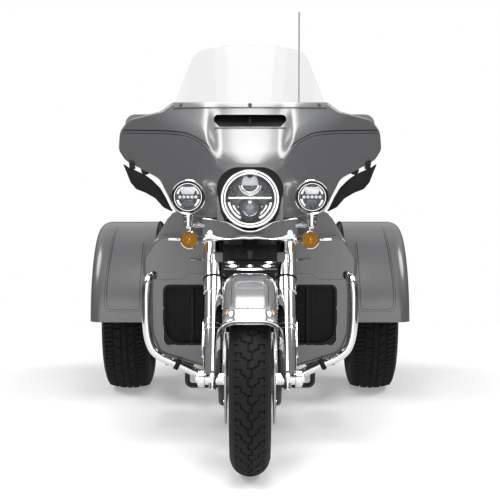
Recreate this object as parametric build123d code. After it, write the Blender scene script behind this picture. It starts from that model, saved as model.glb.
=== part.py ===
from build123d import *
import os
from math import cos, radians, sin, sqrt, tan

# Touring trike: one steered wheel under a fork-mounted fairing, and a wide two-wheeled rear body with a
# trunk, a top case and two seats. +Z is up, the trike faces -Y, and +X is its own left side. The origin is
# on the floor under the middle of its length. Lengths are in millimetres and angles in degrees.

# Stance
OVERALL_LENGTH = 2670
WHEELBASE = 1670
FRONT_AXLE_Y = -1015
SHELL = 5.0
SEAT_GAP = 0.3
RUNNING_GAP = 0.05
SWING_GAP = 6.0

# Front wheel
FRONT_TYRE_RADIUS = 320
FRONT_TYRE_WIDTH = 132
FRONT_TREAD_WIDTH = 108
FRONT_SHOULDER_DROP = 27
FRONT_RIM_RADIUS = 204
FRONT_RIM_WIDTH = 92
FRONT_SPOKES = 9
FRONT_HUB_RADIUS = 42
FRONT_AXLE_RADIUS = 12.5
ROTOR_OFFSET = 80
ROTOR_RADIUS = 150
ROTOR_THICKNESS = 5

# Rear wheels
REAR_TYRE_RADIUS = 324
REAR_TYRE_WIDTH = 208
REAR_TREAD_WIDTH = 176
REAR_SHOULDER_DROP = 14
REAR_RIM_RADIUS = 190
REAR_RIM_WIDTH = 160
REAR_SPOKES = 7
REAR_HUB_RADIUS = 72
REAR_STUB_RADIUS = 15
RIM_THICKNESS = 14
SPOKE_WIDTH = 28
SPOKE_ROOT_WIDTH = 46
SPOKE_DEPTH = 26

# Steering and fork
RAKE = 26
TRAIL = 100
FORK_ANGLE = 32
FORK_SPACING = 248
SLIDER_RADIUS = 32
SLIDER_LOW = -42
SLIDER_HIGH = 315
FORK_TUBE_RADIUS = 24.5
FORK_TUBE_HIGH = 650
COVER_RADIUS = 36
COVER_HIGH = 507
AXLE_HALF_LENGTH = 171
AXLE_NUT_RADIUS = 21
STEM_RADIUS = 16
HEAD_TUBE_RADIUS = 31
LOWER_CLAMP_Z = 690
UPPER_CLAMP_Z = 850
CLAMP_DEPTH = 84
LOWER_CLAMP_HEIGHT = 36
UPPER_CLAMP_HEIGHT = 26

# Front fender and brakes
FENDER_CLEARANCE = 24
FENDER_HALF_WIDTH = 86
FENDER_SKIRT = 78
FENDER_CORNER = 46
FENDER_FRONT_ANGLE = 52
FENDER_REAR_ANGLE = 88
FENDER_THICKNESS = 3
FENDER_LUG_ALONG = 290
CALIPER_LENGTH = 120
CALIPER_WIDTH = 44
CALIPER_DEPTH = 62
CALIPER_SLOT = 10
CALIPER_LOW = 62

# Fairing, as a wide shell that stands on the fork
FAIRING_WALL = 12
FAIRING_LOW = 800
FAIRING_HIGH = 1260
FAIRING_TOP = 1243
FAIRING_BOTTOM = 846
FAIRING_BACK_Y = -640
NOSE_Y = -884
NOSE_HALF_WIDTH = 92
NOSE_ROUND = 70
WING_SWEEP = 0.58
NOSE_CREASE_Z = 1030
NOSE_LEAN = 0.54
WING_CREASE_X = 200
WING_CREASE_Z = 1149
WING_LEAN = 0.6
# Columns: half outline as distance from the middle, height and corner radius.
FAIRING_OUTLINE = [
    (165, FAIRING_BOTTOM, 8),
    (262, 858, 15),
    (318, 972, 60),
    (446, 1040, 40),
    (476, 1078, 30),
    (470, 1150, 60),
    (425, 1192, 50),
    (310, 1214, 30),
    (270, FAIRING_TOP, 8),
]
INNER_PLATE = 22
INNER_CUT_HALF_WIDTH = 205
INNER_CUT_TOP = 945
FORK_PASSAGE_HALF_WIDTH = 178
FORK_PASSAGE_TOP = 900
DUCT_HALF_WIDTH = 128
DUCT_LOW = 1153
DUCT_HIGH = 1200
DUCT_DEPTH = 70
HOOD_HALF_WIDTH = 168
HOOD_LOW = 1118
HOOD_HIGH = 1222
HOOD_DEPTH = 34
DASH_SCREEN_HALF_WIDTH = 98
DASH_SCREEN_LOW = 984
DASH_SCREEN_HIGH = 1104
DASH_SCREEN_DEPTH = 16
SPEAKER_X = 300
SPEAKER_Z = 1078
SPEAKER_RADIUS = 74
SPEAKER_DEPTH = 14

# Windshield
SCREEN_THICKNESS = 5
SCREEN_HALF_WIDTH = 264
SCREEN_SHOULDER_HALF_WIDTH = 196
SCREEN_SHOULDER_DROP = 19
SCREEN_TOP_HALF_WIDTH = 90
SCREEN_TOP_ROUND = 150
SCREEN_TOP = 1451
SCREEN_LEAN = 33
SCREEN_SWEEP = 54
SCREEN_FRONT_Y = -764
SCREEN_CORNER = 60

# Lamps
HEADLAMP_Z = 912
HEADLAMP_FRONT_Y = -914
HEADLAMP_RADIUS = 98.5
HEADLAMP_LENS_RADIUS = 86
HEADLAMP_RING_DEPTH = 46
HOUSING_HALF_WIDTH = 112
HOUSING_TOP = 1017
HOUSING_CORNER = 75
HOUSING_DEPTH = 90
PASSING_X = 209
PASSING_Z = 918
PASSING_RADIUS = 60
PASSING_LENS_RADIUS = 52
PASSING_DEPTH = 54
PASSING_FRONT_Y = -916
LENS_THICKNESS = 9
LENS_RECESS = 5
SIGNAL_X = 206
SIGNAL_Z = 771
SIGNAL_RADIUS = 29
SIGNAL_DEPTH = 58
SIGNAL_FRONT_Y = -882
STEM_POST_RADIUS = 17

# Light bar across the fork, and the skirt behind it up to the fairing
BAR_FRONT_Y = -842
BAR_BACK_Y = -818
BAR_HALF_WIDTH = 166
BAR_END_HIGH = 834
# Columns: half outline as distance from the middle, height and corner radius.
BAR_OUTLINE = [
    (92, 766, 20),
    (124, 756, 14),
    (BAR_HALF_WIDTH, 760, 6),
    (BAR_HALF_WIDTH, BAR_END_HIGH, 8),
    (144, BAR_END_HIGH, 8),
    (128, 796, 14),
    (88, 784, 20),
]
BAR_ARM_DROP = 14
BAR_ARM_RADIUS = 10
BAR_STAY_Z = 778
BAR_STAY_LENGTH = 90
BAR_STAY_RADIUS = 12
SKIRT_HALF_WIDTH = 158
SKIRT_LOW = 762
SKIRT_HIGH = 838
SKIRT_THICKNESS = 12

# Handlebar
BAR_RADIUS = 14
GRIP_RADIUS = 19
GRIP_LENGTH = 128
HANDLEBAR_ROUTE = [
    (0, -652, 905),
    (110, -652, 905),
    (290, -560, 1010),
    (365, -430, 1030),
    (405, -255, 1008),
]
HANDLEBAR_BEND = 60

# Mirrors and air deflectors
MIRROR_X = 385
MIRROR_Z = 1166
MIRROR_WIDTH = 126
MIRROR_HEIGHT = 84
MIRROR_DEPTH = 26
MIRROR_STEM = 34
# Columns: distance from the middle, height and corner radius, right round the blade.
DEFLECTOR_OUTLINE = [
    (478, 1034, 4),
    (447, 962, 40),
    (412, 934, 30),
    (345, 906, 30),
    (292, 866, 30),
    (270, 857, 4),
    (308, 938, 60),
    (352, 990, 60),
    (418, 1025, 20),
]
DEFLECTOR_THICKNESS = 5
DEFLECTOR_Y = -700
DEFLECTOR_BRACKET_X = 408
DEFLECTOR_BRACKET_WIDTH = 20
DEFLECTOR_BRACKET_DROP = 34

# Frame
BACKBONE_RADIUS = 28
BACKBONE_Z = 700
BACKBONE_END_Y = 40
CRADLE_RADIUS = 17
CRADLE_X = 100
CRADLE_Z = 150
DOWNTUBE_Y = -588
CRADLE_REAR_Y = 322
RAIL_RADIUS = 14
RAIL_X = 70
RAIL_Z = 626
PIVOT_PLATE_Y = 138
PIVOT_PLATE_WIDTH = 60
PIVOT_PLATE_TOP = 400
PIVOT_PLATE_THICKNESS = 12

# Engine
CRANK_Y = -250
CRANK_Z = 310
CASE_HALF_WIDTH = 92
CASE_FRONT_Y = -478
CASE_BACK_Y = 60
CASE_TOP = 402
FOOT_LENGTH = 100
FOOT_HEIGHT = 20
SPIGOT_RADIUS = 72
V_HALF_ANGLE = 22.5
FIN_COUNT = 8
FIN_PITCH = 15
FIN_THICKNESS = 5
FIN_FIRST = 128
FIN_HALF_SIZE = 84
BARREL_RADIUS = 62
HEAD_HEIGHT = 66
ROCKER_HEIGHT = 40
ROCKER_HALF_LENGTH = 76
ROCKER_HALF_WIDTH = 62
PRIMARY_DEPTH = 96
PRIMARY_FRONT_RADIUS = 92
PRIMARY_REAR_RADIUS = 118
PRIMARY_LENGTH = 330
PRIMARY_Z = 300
CAM_COVER_DEPTH = 62
CAM_COVER_RADIUS = 112
AIR_CLEANER_RADIUS = 92
AIR_CLEANER_DEPTH = 70
AIR_CLEANER_Z = 540
AIR_CLEANER_NECK = 72

# Exhaust
PIPE_RADIUS = 23
PIPE_BEND = 55
MUFFLER_RADIUS = 46
MUFFLER_X = 330
MUFFLER_Z = 215
MUFFLER_FRONT_Y = 330
MUFFLER_SETBACK = 96
HEADER_X = 190
CROSSOVER_Y = 206
CROSSOVER_Z = 236
HEADER_ROUTE = [
    (-FIN_HALF_SIZE - SEAT_GAP, -395, 535),
    (-HEADER_X, -395, 535),
    (-HEADER_X, -430, 300),
    (-HEADER_X, -330, 240),
    (-HEADER_X, CROSSOVER_Y, CROSSOVER_Z),
    (HEADER_X, CROSSOVER_Y, CROSSOVER_Z),
]
HANGER_Y = 930
HANGER_WIDTH = 40
HANGER_THICKNESS = 5

# Fuel tank. Columns: place in y, half width, top height, corner radius.
TANK_BOTTOM = 692
TANK_SECTIONS = [
    (-566, 78, 812, 26),
    (-470, 128, 846, 50),
    (-330, 168, 852, 66),
    (-180, 150, 836, 58),
    (-62, 92, 794, 34),
]
TUNNEL_HALF_WIDTH = 36
CONSOLE_HALF_WIDTH = 46
CONSOLE_HEIGHT = 16

# Seats
SEAT_BOTTOM = RAIL_Z + RAIL_RADIUS
SEAT_HALF_WIDTH = 178
SEAT_CORNER = 42
# Columns: place in y, height and corner radius along the top of both seats, front to back.
SEAT_TOP = [
    (-52, 776, 24),
    (60, 724, 110),
    (250, 738, 120),
    (318, 832, 60),
    (420, 858, 60),
]
SEAT_BACK_Z = 862
SEAT_BACK_ROUND = 24
SEAT_BACK_ROOM = 5
BACKREST_HALF_WIDTH = 210
BACKREST_LOW = 900
BACKREST_DEPTH = 62

# Side covers under the seat
BATTERY_HALF_WIDTH = 118
BATTERY_FRONT_Y = 70
BATTERY_BACK_Y = 298
BATTERY_LOW = 430
SIDE_COVER_THICKNESS = 26
SIDE_COVER_CORNER = 40

# Lower fairings and radiators. Columns: distance from the middle, height, corner radius.
LOWER_FRONT_Y = -626
LOWER_DEPTH = 150
LOWER_WALL = 6
LOWER_EDGE = 14
LOWER_OUTLINE = [
    (134, 300, 10),
    (170, 296, 10),
    (330, 344, 40),
    (362, 420, 50),
    (364, 600, 16),
    (386, 624, 16),
    (388, 692, 60),
    (338, 768, 40),
    (166, 770, 30),
    (134, 720, 30),
]
POD_FRONT_Y = -522
POD_OUTLINE = [
    (172, 758, 4),
    (330, 758, 4),
    (324, 778, 10),
    (286, 853, 20),
    (172, 853, 20),
]
GRILLE_INNER = 158
GRILLE_OUTER = 314
GRILLE_LOW = 376
GRILLE_HIGH = 596
GRILLE_CORNER = 22
GRILLE_SLATS = 7
RADIATOR_FLANGE = 7
RADIATOR_DEPTH = 60
SLAT_RECESS = 1
SLAT_HEIGHT = 6

# Engine guard
GUARD_RADIUS = 16
GUARD_Y = -646
GUARD_BEND = 24
GUARD_X = 374
GUARD_ROUTE = [
    (CRADLE_X - 4, DOWNTUBE_Y, 612),
    (314, DOWNTUBE_Y + 24, 656),
    (366, GUARD_Y, 618),
    (GUARD_X, GUARD_Y, 420),
    (348, GUARD_Y, 352),
    (178, GUARD_Y + 10, 272),
    (CRADLE_X, DOWNTUBE_Y + 4, 246),
]

# Footboards. Columns: middle x, middle y, height, length, width.
FOOTBOARDS = [
    (272, -170, 270, 320, 118),
    (268, 168, 352, 190, 100),
]
FOOTBOARD_THICKNESS = 16
FOOTBOARD_CORNER = 40
FOOTBOARD_BRACKET_RADIUS = 10
FOOTBOARD_BRACKET_BEND = 20
FOOTBOARD_BRACKET_X = 250

# Rear axle, carried by a swingarm and two shocks
AXLE_HOUSING_RADIUS = 38
AXLE_FLANGE_ROOM = 11
DIFF_RADIUS = 92
DIFF_WIDTH = 150
ARM_X = 44
ARM_WIDTH = 30
ARM_HEIGHT = 52
SHOCK_X = 190
SHOCK_RADIUS = 30

# Rear body
BODY_FRONT_Y = 345
BODY_FLOOR = 450
BODY_TOP = 820
BODY_WALL = 12
BODY_HALF_WIDTH = 414
WHEEL_INNER_ROOM = 35
WHEEL_OUTER_ROOM = 33
BODY_SHOULDER_HALF_WIDTH = 346
BODY_SHOULDER_Z = 706
BODY_SHOULDER_RADIUS = 60
BODY_REAR_STEP = 19
BODY_REAR_LEAN = 15
DOOR_HALF_WIDTH = 318
DOOR_LOW = 498
DOOR_HIGH = 776
DOOR_CORNER = 40
DOOR_PROUD = 6
HINGE_RADIUS = 7
HINGE_PIN_RADIUS = 3.5
HINGE_HALF_LENGTH = 70
HINGE_EAR = 22
VALANCE_LOW = 338
VALANCE_THICKNESS = 12

# Rear fenders
FENDER_ARCH_RADIUS = 444
FENDER_FRONT_LOW = 356
FENDER_TAIL_LOW = 430
FENDER_TAIL_RUN = 129
FENDER_TAIL_TOP_Z = 668
FENDER_TAIL_BEND_Z = 560
FENDER_WALL = 5
FENDER_OUTER_FILLET = 52
FENDER_INNER_FILLET = 24
WHEEL_OPENING_RADIUS = 352
TAIL_LAMP_WIDTH = 96
TAIL_LAMP_HEIGHT = 104
TAIL_LAMP_OUT = 7
TAIL_LAMP_Z = 500
TAIL_LAMP_DEPTH = 10

# Top case
TOP_CASE_SETBACK = 141
TOP_CASE_LENGTH = 470
TOP_CASE_HALF_WIDTH = 302
TOP_CASE_LOW = 862
TOP_CASE_SPLIT = 1060
TOP_CASE_HIGH = 1200
TOP_CASE_WALL = 8
TOP_CASE_CORNER = 70
TOP_CASE_EDGE = 36
TOP_CASE_SEAM = 1.0
RACK_HALF_WIDTH = 190
RACK_RAIL = 26
ANTENNA_X = 245
ANTENNA_SETBACK = 122
ANTENNA_TOP = 1795
ANTENNA_RADIUS = 2.5
ANTENNA_BASE_RADIUS = 11
ANTENNA_BASE_HEIGHT = 70

# Places that follow from the sizes above
FRONT_AXLE_Z = FRONT_TYRE_RADIUS
FRONT_END_Y = FRONT_AXLE_Y - FRONT_TYRE_RADIUS
MIDDLE_Y = FRONT_END_Y + OVERALL_LENGTH / 2
REAR_AXLE_Y = FRONT_AXLE_Y + WHEELBASE
REAR_AXLE_Z = REAR_TYRE_RADIUS
REAR_TRACK = 2 * (BODY_HALF_WIDTH + WHEEL_INNER_ROOM) + REAR_TYRE_WIDTH
AXLE_FLANGE_X = (REAR_TRACK - REAR_RIM_WIDTH) / 2 - AXLE_FLANGE_ROOM
FENDER_OUTER_X = (REAR_TRACK + REAR_TYRE_WIDTH) / 2 + WHEEL_OUTER_ROOM
FENDER_TAIL_Y = FRONT_END_Y + OVERALL_LENGTH - TAIL_LAMP_DEPTH
FENDER_TAIL_TOP_Y = FENDER_TAIL_Y - FENDER_TAIL_RUN
TAIL_LAMP_X = REAR_TRACK / 2 + TAIL_LAMP_OUT
BODY_REAR_Y = FENDER_TAIL_Y - BODY_REAR_STEP
ANTENNA_Y = BODY_REAR_Y - ANTENNA_SETBACK
CASE_Y = BODY_REAR_Y - TOP_CASE_SETBACK - TOP_CASE_LENGTH / 2
SEAT_BACK_Y = CASE_Y - TOP_CASE_LENGTH / 2 - BACKREST_DEPTH - SEAT_BACK_ROOM
FORK_X = FORK_SPACING / 2
STEER_GROUND_Y = FRONT_AXLE_Y - TRAIL
SIDES = {"left": 1, "right": -1}


# Shared shapes
def front_prism(profile, y_front, y_back):
    """Profile drawn in (x, z), made solid between two places in y."""
    return extrude(Plane.XZ.offset(-y_back) * profile, amount=y_back - y_front)


def side_prism(profile, x_low, x_high):
    """Profile drawn in (y, z), made solid between two places in x."""
    return extrude(Plane.YZ.offset(x_low) * profile, amount=x_high - x_low)


def plan_prism(profile, z_low, z_high):
    """Profile drawn in (x, y), made solid between two heights."""
    return extrude(Plane.XY.offset(z_low) * profile, amount=z_high - z_low)


def block(x_low, x_high, y_low, y_high, z_low, z_high):
    """Box between two corners."""
    size = (x_high - x_low, y_high - y_low, z_high - z_low)
    middle = ((x_low + x_high) / 2, (y_low + y_high) / 2, (z_low + z_high) / 2)
    return Pos(*middle) * Box(*size)


def polygon(rows):
    """Face from rows of two coordinates and a corner radius."""
    points = [row[:2] for row in rows]
    return make_face(FilletPolyline(*points, radius=[row[2] for row in rows], close=True))


def mirrored_outline(rows):
    """Face from half an outline, bottom to top, closed by its mirror image."""
    other = [(-x, z, radius) for x, z, radius in reversed(rows)]
    return polygon(rows + other)


def bar(start, end, radius):
    """Round bar from one point to another."""
    axis = Vector(*end) - Vector(*start)
    return extrude(Plane(origin=start, z_dir=axis) * Circle(radius), amount=axis.length)


def tube(points, radius, bend):
    """Round tube along straight runs joined by arcs."""
    path = FilletPolyline(*points, radius=[bend] * (len(points) - 2))
    return sweep(Plane(origin=path @ 0, z_dir=path % 0) * Circle(radius), path=path)


def spun(profile, axle_y, axle_z, start_angle=0, arc=360):
    """Profile drawn in (x, radius), turned about an axle from start_angle behind the top, over to the front."""
    lean = radians(start_angle)
    plane = Plane(origin=(0, axle_y, axle_z), x_dir=(1, 0, 0), z_dir=(0, -cos(lean), sin(lean)))
    return revolve(plane * profile, axis=Axis((0, axle_y, axle_z), (1, 0, 0)), revolution_arc=arc)


def both_sides(shape):
    """A left-hand shape and its mirror image."""
    return shape + mirror(shape, about=Plane.YZ)


def drum(x_low, x_high, y, z, radius):
    """Cylinder along x."""
    return bar((x_low, y, z), (x_high, y, z), radius)


def lamp_drum(x, z, y_front, y_back, radius):
    """Cylinder along y."""
    return bar((x, y_back, z), (x, y_front, z), radius)


def steer_point(z):
    """Point on the steering axis at a height."""
    return (0, STEER_GROUND_Y + z * tan(radians(RAKE)), z)


def fork_point(x, along):
    """Point on a fork leg's axis, measured up from the axle."""
    lean = radians(FORK_ANGLE)
    return (x, FRONT_AXLE_Y + along * sin(lean), FRONT_AXLE_Z + along * cos(lean))


# Wheels
def tyre(axle_y, axle_z, radius, width, tread_width, shoulder_drop, rim_radius, rim_width):
    """Tyre with straight beads, round sidewalls and a crowned tread."""
    bead, belly, shoulder = rim_width / 2, width / 2, tread_width / 2
    inner, edge = rim_radius + SEAT_GAP, radius - shoulder_drop
    middle = (inner + edge) / 2
    outline = [
        Line((-bead, inner), (bead, inner)),
        ThreePointArc((bead, inner), (belly, middle), (shoulder, edge)),
        ThreePointArc((shoulder, edge), (0, radius), (-shoulder, edge)),
        ThreePointArc((-shoulder, edge), (-belly, middle), (-bead, inner)),
    ]
    return spun(make_face(outline), axle_y, axle_z)


def rim(axle_y, axle_z, radius, width, hub_radius, hub_low, hub_high, bore, spokes, spoke_x):
    """Cast wheel: barrel, hub with its bore, and straight spokes between them."""
    half = width / 2
    barrel = drum(-half, half, axle_y, axle_z, radius)
    barrel -= drum(-half, half, axle_y, axle_z, radius - RIM_THICKNESS)
    wheel = barrel + drum(hub_low, hub_high, axle_y, axle_z, hub_radius)
    reach = radius - RIM_THICKNESS / 2
    for index in range(spokes):
        arm = polygon([
            (-SPOKE_ROOT_WIDTH / 2, 0, 0), (SPOKE_ROOT_WIDTH / 2, 0, 0),
            (SPOKE_WIDTH / 2, reach, 0), (-SPOKE_WIDTH / 2, reach, 0),
        ])
        arm = side_prism(arm, spoke_x - SPOKE_DEPTH / 2, spoke_x + SPOKE_DEPTH / 2)
        wheel += Pos(0, axle_y, axle_z) * Rot(360 * index / spokes, 0, 0) * arm
    return wheel - drum(hub_low, hub_high, axle_y, axle_z, bore + RUNNING_GAP)


def front_wheel():
    """Front tyre, cast rim and the two brake discs bolted to its hub."""
    hub_end = ROTOR_OFFSET - ROTOR_THICKNESS / 2
    disc = drum(hub_end, hub_end + ROTOR_THICKNESS, FRONT_AXLE_Y, FRONT_AXLE_Z, ROTOR_RADIUS)
    disc -= drum(hub_end, hub_end + ROTOR_THICKNESS, FRONT_AXLE_Y, FRONT_AXLE_Z, FRONT_AXLE_RADIUS * 2)
    return {
        "front_tyre": tyre(
            FRONT_AXLE_Y, FRONT_AXLE_Z, FRONT_TYRE_RADIUS, FRONT_TYRE_WIDTH, FRONT_TREAD_WIDTH,
            FRONT_SHOULDER_DROP, FRONT_RIM_RADIUS, FRONT_RIM_WIDTH,
        ),
        "front_rim": rim(
            FRONT_AXLE_Y, FRONT_AXLE_Z, FRONT_RIM_RADIUS, FRONT_RIM_WIDTH, FRONT_HUB_RADIUS,
            -hub_end, hub_end, FRONT_AXLE_RADIUS, FRONT_SPOKES, 0,
        ),
        "brake_rotors": both_sides(disc),
    }


def rear_wheel(side):
    """One rear tyre and cast rim, with its spokes near the outer face."""
    half = REAR_RIM_WIDTH / 2
    spoke_x = half - SPOKE_DEPTH
    shapes = {
        "rear_tyre": tyre(
            REAR_AXLE_Y, REAR_AXLE_Z, REAR_TYRE_RADIUS, REAR_TYRE_WIDTH, REAR_TREAD_WIDTH,
            REAR_SHOULDER_DROP, REAR_RIM_RADIUS, REAR_RIM_WIDTH,
        ),
        "rear_rim": rim(
            REAR_AXLE_Y, REAR_AXLE_Z, REAR_RIM_RADIUS, REAR_RIM_WIDTH, REAR_HUB_RADIUS,
            -half, half, REAR_STUB_RADIUS, REAR_SPOKES, spoke_x,
        ),
    }
    placed = {name: Pos(REAR_TRACK / 2, 0, 0) * shape for name, shape in shapes.items()}
    if SIDES[side] < 0:
        placed = {name: mirror(shape, about=Plane.YZ) for name, shape in placed.items()}
    return {f"{name}_{side}": shape for name, shape in placed.items()}


# Fork
def fork_legs():
    """Two sliders with their inner tubes, joined by the front axle and its nuts."""
    leg = bar(fork_point(FORK_X, SLIDER_LOW), fork_point(FORK_X, SLIDER_HIGH), SLIDER_RADIUS)
    leg += bar(fork_point(FORK_X, SLIDER_HIGH), fork_point(FORK_X, FORK_TUBE_HIGH), FORK_TUBE_RADIUS)
    nut = drum(FORK_X, AXLE_HALF_LENGTH, FRONT_AXLE_Y, FRONT_AXLE_Z, AXLE_NUT_RADIUS)
    axle = drum(-FORK_X, FORK_X, FRONT_AXLE_Y, FRONT_AXLE_Z, FRONT_AXLE_RADIUS)
    spacer_low = ROTOR_OFFSET + ROTOR_THICKNESS / 2 + SEAT_GAP
    spacer = drum(spacer_low, FORK_X, FRONT_AXLE_Y, FRONT_AXLE_Z, AXLE_NUT_RADIUS)
    return both_sides(leg + nut + spacer) + axle


def fork_covers():
    """Plated sleeves round the upper fork tubes."""
    low, high = fork_point(FORK_X, SLIDER_HIGH), fork_point(FORK_X, COVER_HIGH)
    return both_sides(bar(low, high, COVER_RADIUS) - bar(low, high, FORK_TUBE_RADIUS + SEAT_GAP))


def triple_clamps():
    """Lower and upper yokes on the steering stem, with handlebar risers."""
    axis = Vector(*steer_point(1)) - Vector(*steer_point(0))
    lower = Plane(origin=steer_point(LOWER_CLAMP_Z), x_dir=(1, 0, 0), z_dir=axis)
    upper = Plane(origin=steer_point(UPPER_CLAMP_Z), x_dir=(1, 0, 0), z_dir=axis)
    reach = FORK_SPACING + 2 * COVER_RADIUS
    clamps = lower * Box(FORK_SPACING, CLAMP_DEPTH, LOWER_CLAMP_HEIGHT)
    cover_line = fork_point(FORK_X, SLIDER_HIGH), fork_point(FORK_X, COVER_HIGH)
    clamps -= both_sides(bar(*cover_line, COVER_RADIUS + SEAT_GAP))
    top = upper * Box(reach, CLAMP_DEPTH, UPPER_CLAMP_HEIGHT)
    tube_line = fork_point(FORK_X, COVER_HIGH), fork_point(FORK_X, FORK_TUBE_HIGH)
    top -= both_sides(bar(*tube_line, FORK_TUBE_RADIUS + SEAT_GAP))
    stem = bar(steer_point(LOWER_CLAMP_Z), steer_point(UPPER_CLAMP_Z), STEM_RADIUS)
    bar_y, bar_z = HANDLEBAR_ROUTE[0][1:]
    foot = steer_point(UPPER_CLAMP_Z)
    riser = bar((62, foot[1] + 16, foot[2]), (62, bar_y, bar_z), STEM_RADIUS)
    return clamps + top + stem + both_sides(riser)


def front_fender():
    """Deep-skirted fender that follows the front tyre, with lugs to the fork sliders."""
    outer = FRONT_TYRE_RADIUS + FENDER_CLEARANCE + FENDER_THICKNESS
    low = outer - FENDER_SKIRT
    wide, corner = FENDER_HALF_WIDTH, FENDER_CORNER

    def bow(half_width, top, radius):
        return polygon([
            (half_width, low, 0), (half_width, top, radius), (-half_width, top, radius), (-half_width, low, 0),
        ])

    section = bow(wide, outer, corner)
    section -= bow(wide - FENDER_THICKNESS, outer - FENDER_THICKNESS, corner - FENDER_THICKNESS)
    arc = FENDER_REAR_ANGLE + FENDER_FRONT_ANGLE
    fender = spun(section, FRONT_AXLE_Y, FRONT_AXLE_Z, FENDER_REAR_ANGLE, arc)
    lug_at = fork_point(FORK_X, FENDER_LUG_ALONG)
    lug = bar((wide - FENDER_THICKNESS / 2, *lug_at[1:]), (FORK_X, *lug_at[1:]), AXLE_NUT_RADIUS)
    leg = bar(fork_point(FORK_X, SLIDER_LOW), fork_point(FORK_X, SLIDER_HIGH), SLIDER_RADIUS + SEAT_GAP)
    return fender + both_sides(lug - leg)


def brake_calipers():
    """Calipers behind the fork legs, each slotted over its disc."""
    lean = radians(FORK_ANGLE)
    middle = fork_point(FORK_X, CALIPER_LOW + CALIPER_LENGTH / 2)
    back = SLIDER_RADIUS + CALIPER_DEPTH / 2
    centre = (ROTOR_OFFSET, middle[1] + back * cos(lean), middle[2] - back * sin(lean))
    plane = Plane(origin=centre, x_dir=(1, 0, 0), z_dir=(0, sin(lean), cos(lean)))
    body = plane * Box(CALIPER_WIDTH, CALIPER_DEPTH, CALIPER_LENGTH)
    link = plane * Pos(FORK_X - ROTOR_OFFSET, 0, 0) * Box(SLIDER_RADIUS, CALIPER_DEPTH, CALIPER_LENGTH / 2)
    bridge_low, bridge_high = ROTOR_OFFSET, FORK_X
    bridge = plane * Pos((bridge_high - bridge_low) / 2, 0, 0) * Box(
        bridge_high - bridge_low, CALIPER_DEPTH / 2, CALIPER_LENGTH / 2
    )
    caliper = body + link + bridge
    leg = bar(fork_point(FORK_X, SLIDER_LOW), fork_point(FORK_X, SLIDER_HIGH), SLIDER_RADIUS + SEAT_GAP)
    slot = drum(
        ROTOR_OFFSET - CALIPER_SLOT / 2, ROTOR_OFFSET + CALIPER_SLOT / 2, FRONT_AXLE_Y, FRONT_AXLE_Z,
        ROTOR_RADIUS + CALIPER_SLOT / 2,
    )
    return both_sides(caliper - leg - slot)


# Fairing
def ahead_of_plane(origin, normal, inset):
    """Block of space in front of a plane, which is moved in by inset against its normal."""
    plane = Plane(origin=origin, z_dir=normal)
    return plane * Pos(0, 0, FAIRING_HIGH / 2 - inset) * Box(3 * FAIRING_HIGH, 3 * FAIRING_HIGH, FAIRING_HIGH)


def fairing_volume(inset, back_y):
    """Space inside the fairing's outside: upright nose and wings, with tops that lean back above a crease."""
    deep = back_y + FAIRING_HIGH
    reach = FAIRING_HIGH / 2
    plan = mirrored_outline([
        (NOSE_HALF_WIDTH, NOSE_Y, NOSE_ROUND),
        (reach, NOSE_Y + WING_SWEEP * (reach - NOSE_HALF_WIDTH), 0),
        (reach, deep, 0),
    ])
    outline = mirrored_outline(FAIRING_OUTLINE)
    if inset:
        plan, outline = offset(plan, amount=-inset), offset(outline, amount=-inset)
    volume = front_prism(outline, NOSE_Y - FAIRING_WALL, back_y) & plan_prism(plan, FAIRING_LOW, FAIRING_HIGH)
    volume -= ahead_of_plane((0, NOSE_Y, NOSE_CREASE_Z), (0, -1, NOSE_LEAN), inset)
    crease_y = NOSE_Y + WING_SWEEP * (WING_CREASE_X - NOSE_HALF_WIDTH)
    for sign in (-1, 1):
        corner = (WING_CREASE_X * sign, crease_y, WING_CREASE_Z)
        volume -= ahead_of_plane(corner, (WING_SWEEP * sign, -1, WING_LEAN), inset)
    return volume


def housing_outline(gap):
    """Arched opening for the headlamp in the fairing's nose, grown by gap."""
    half, top = HOUSING_HALF_WIDTH + gap, HOUSING_TOP + gap
    low = SKIRT_HIGH + SEAT_GAP
    return polygon([(-half, low, 0), (-half, top, HOUSING_CORNER), (half, top, HOUSING_CORNER), (half, low, 0)])


def outer_fairing():
    """Painted shell, open behind and under the fork, with the headlamp's arch and the air duct cut through."""
    past_back = FAIRING_BACK_Y + FAIRING_WALL
    shell = fairing_volume(0, FAIRING_BACK_Y) - fairing_volume(FAIRING_WALL, past_back)
    nose = NOSE_Y - FAIRING_WALL
    shell -= front_prism(housing_outline(SEAT_GAP), nose, SCREEN_FRONT_Y)
    shell -= block(
        -FORK_PASSAGE_HALF_WIDTH, FORK_PASSAGE_HALF_WIDTH, BAR_FRONT_Y, past_back, FAIRING_LOW, FORK_PASSAGE_TOP
    )
    duct = SlotOverall(2 * DUCT_HALF_WIDTH, DUCT_HIGH - DUCT_LOW)
    duct = Pos(0, (DUCT_LOW + DUCT_HIGH) / 2) * duct
    return shell - front_prism(duct, nose, SCREEN_FRONT_Y + DUCT_DEPTH)


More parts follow.
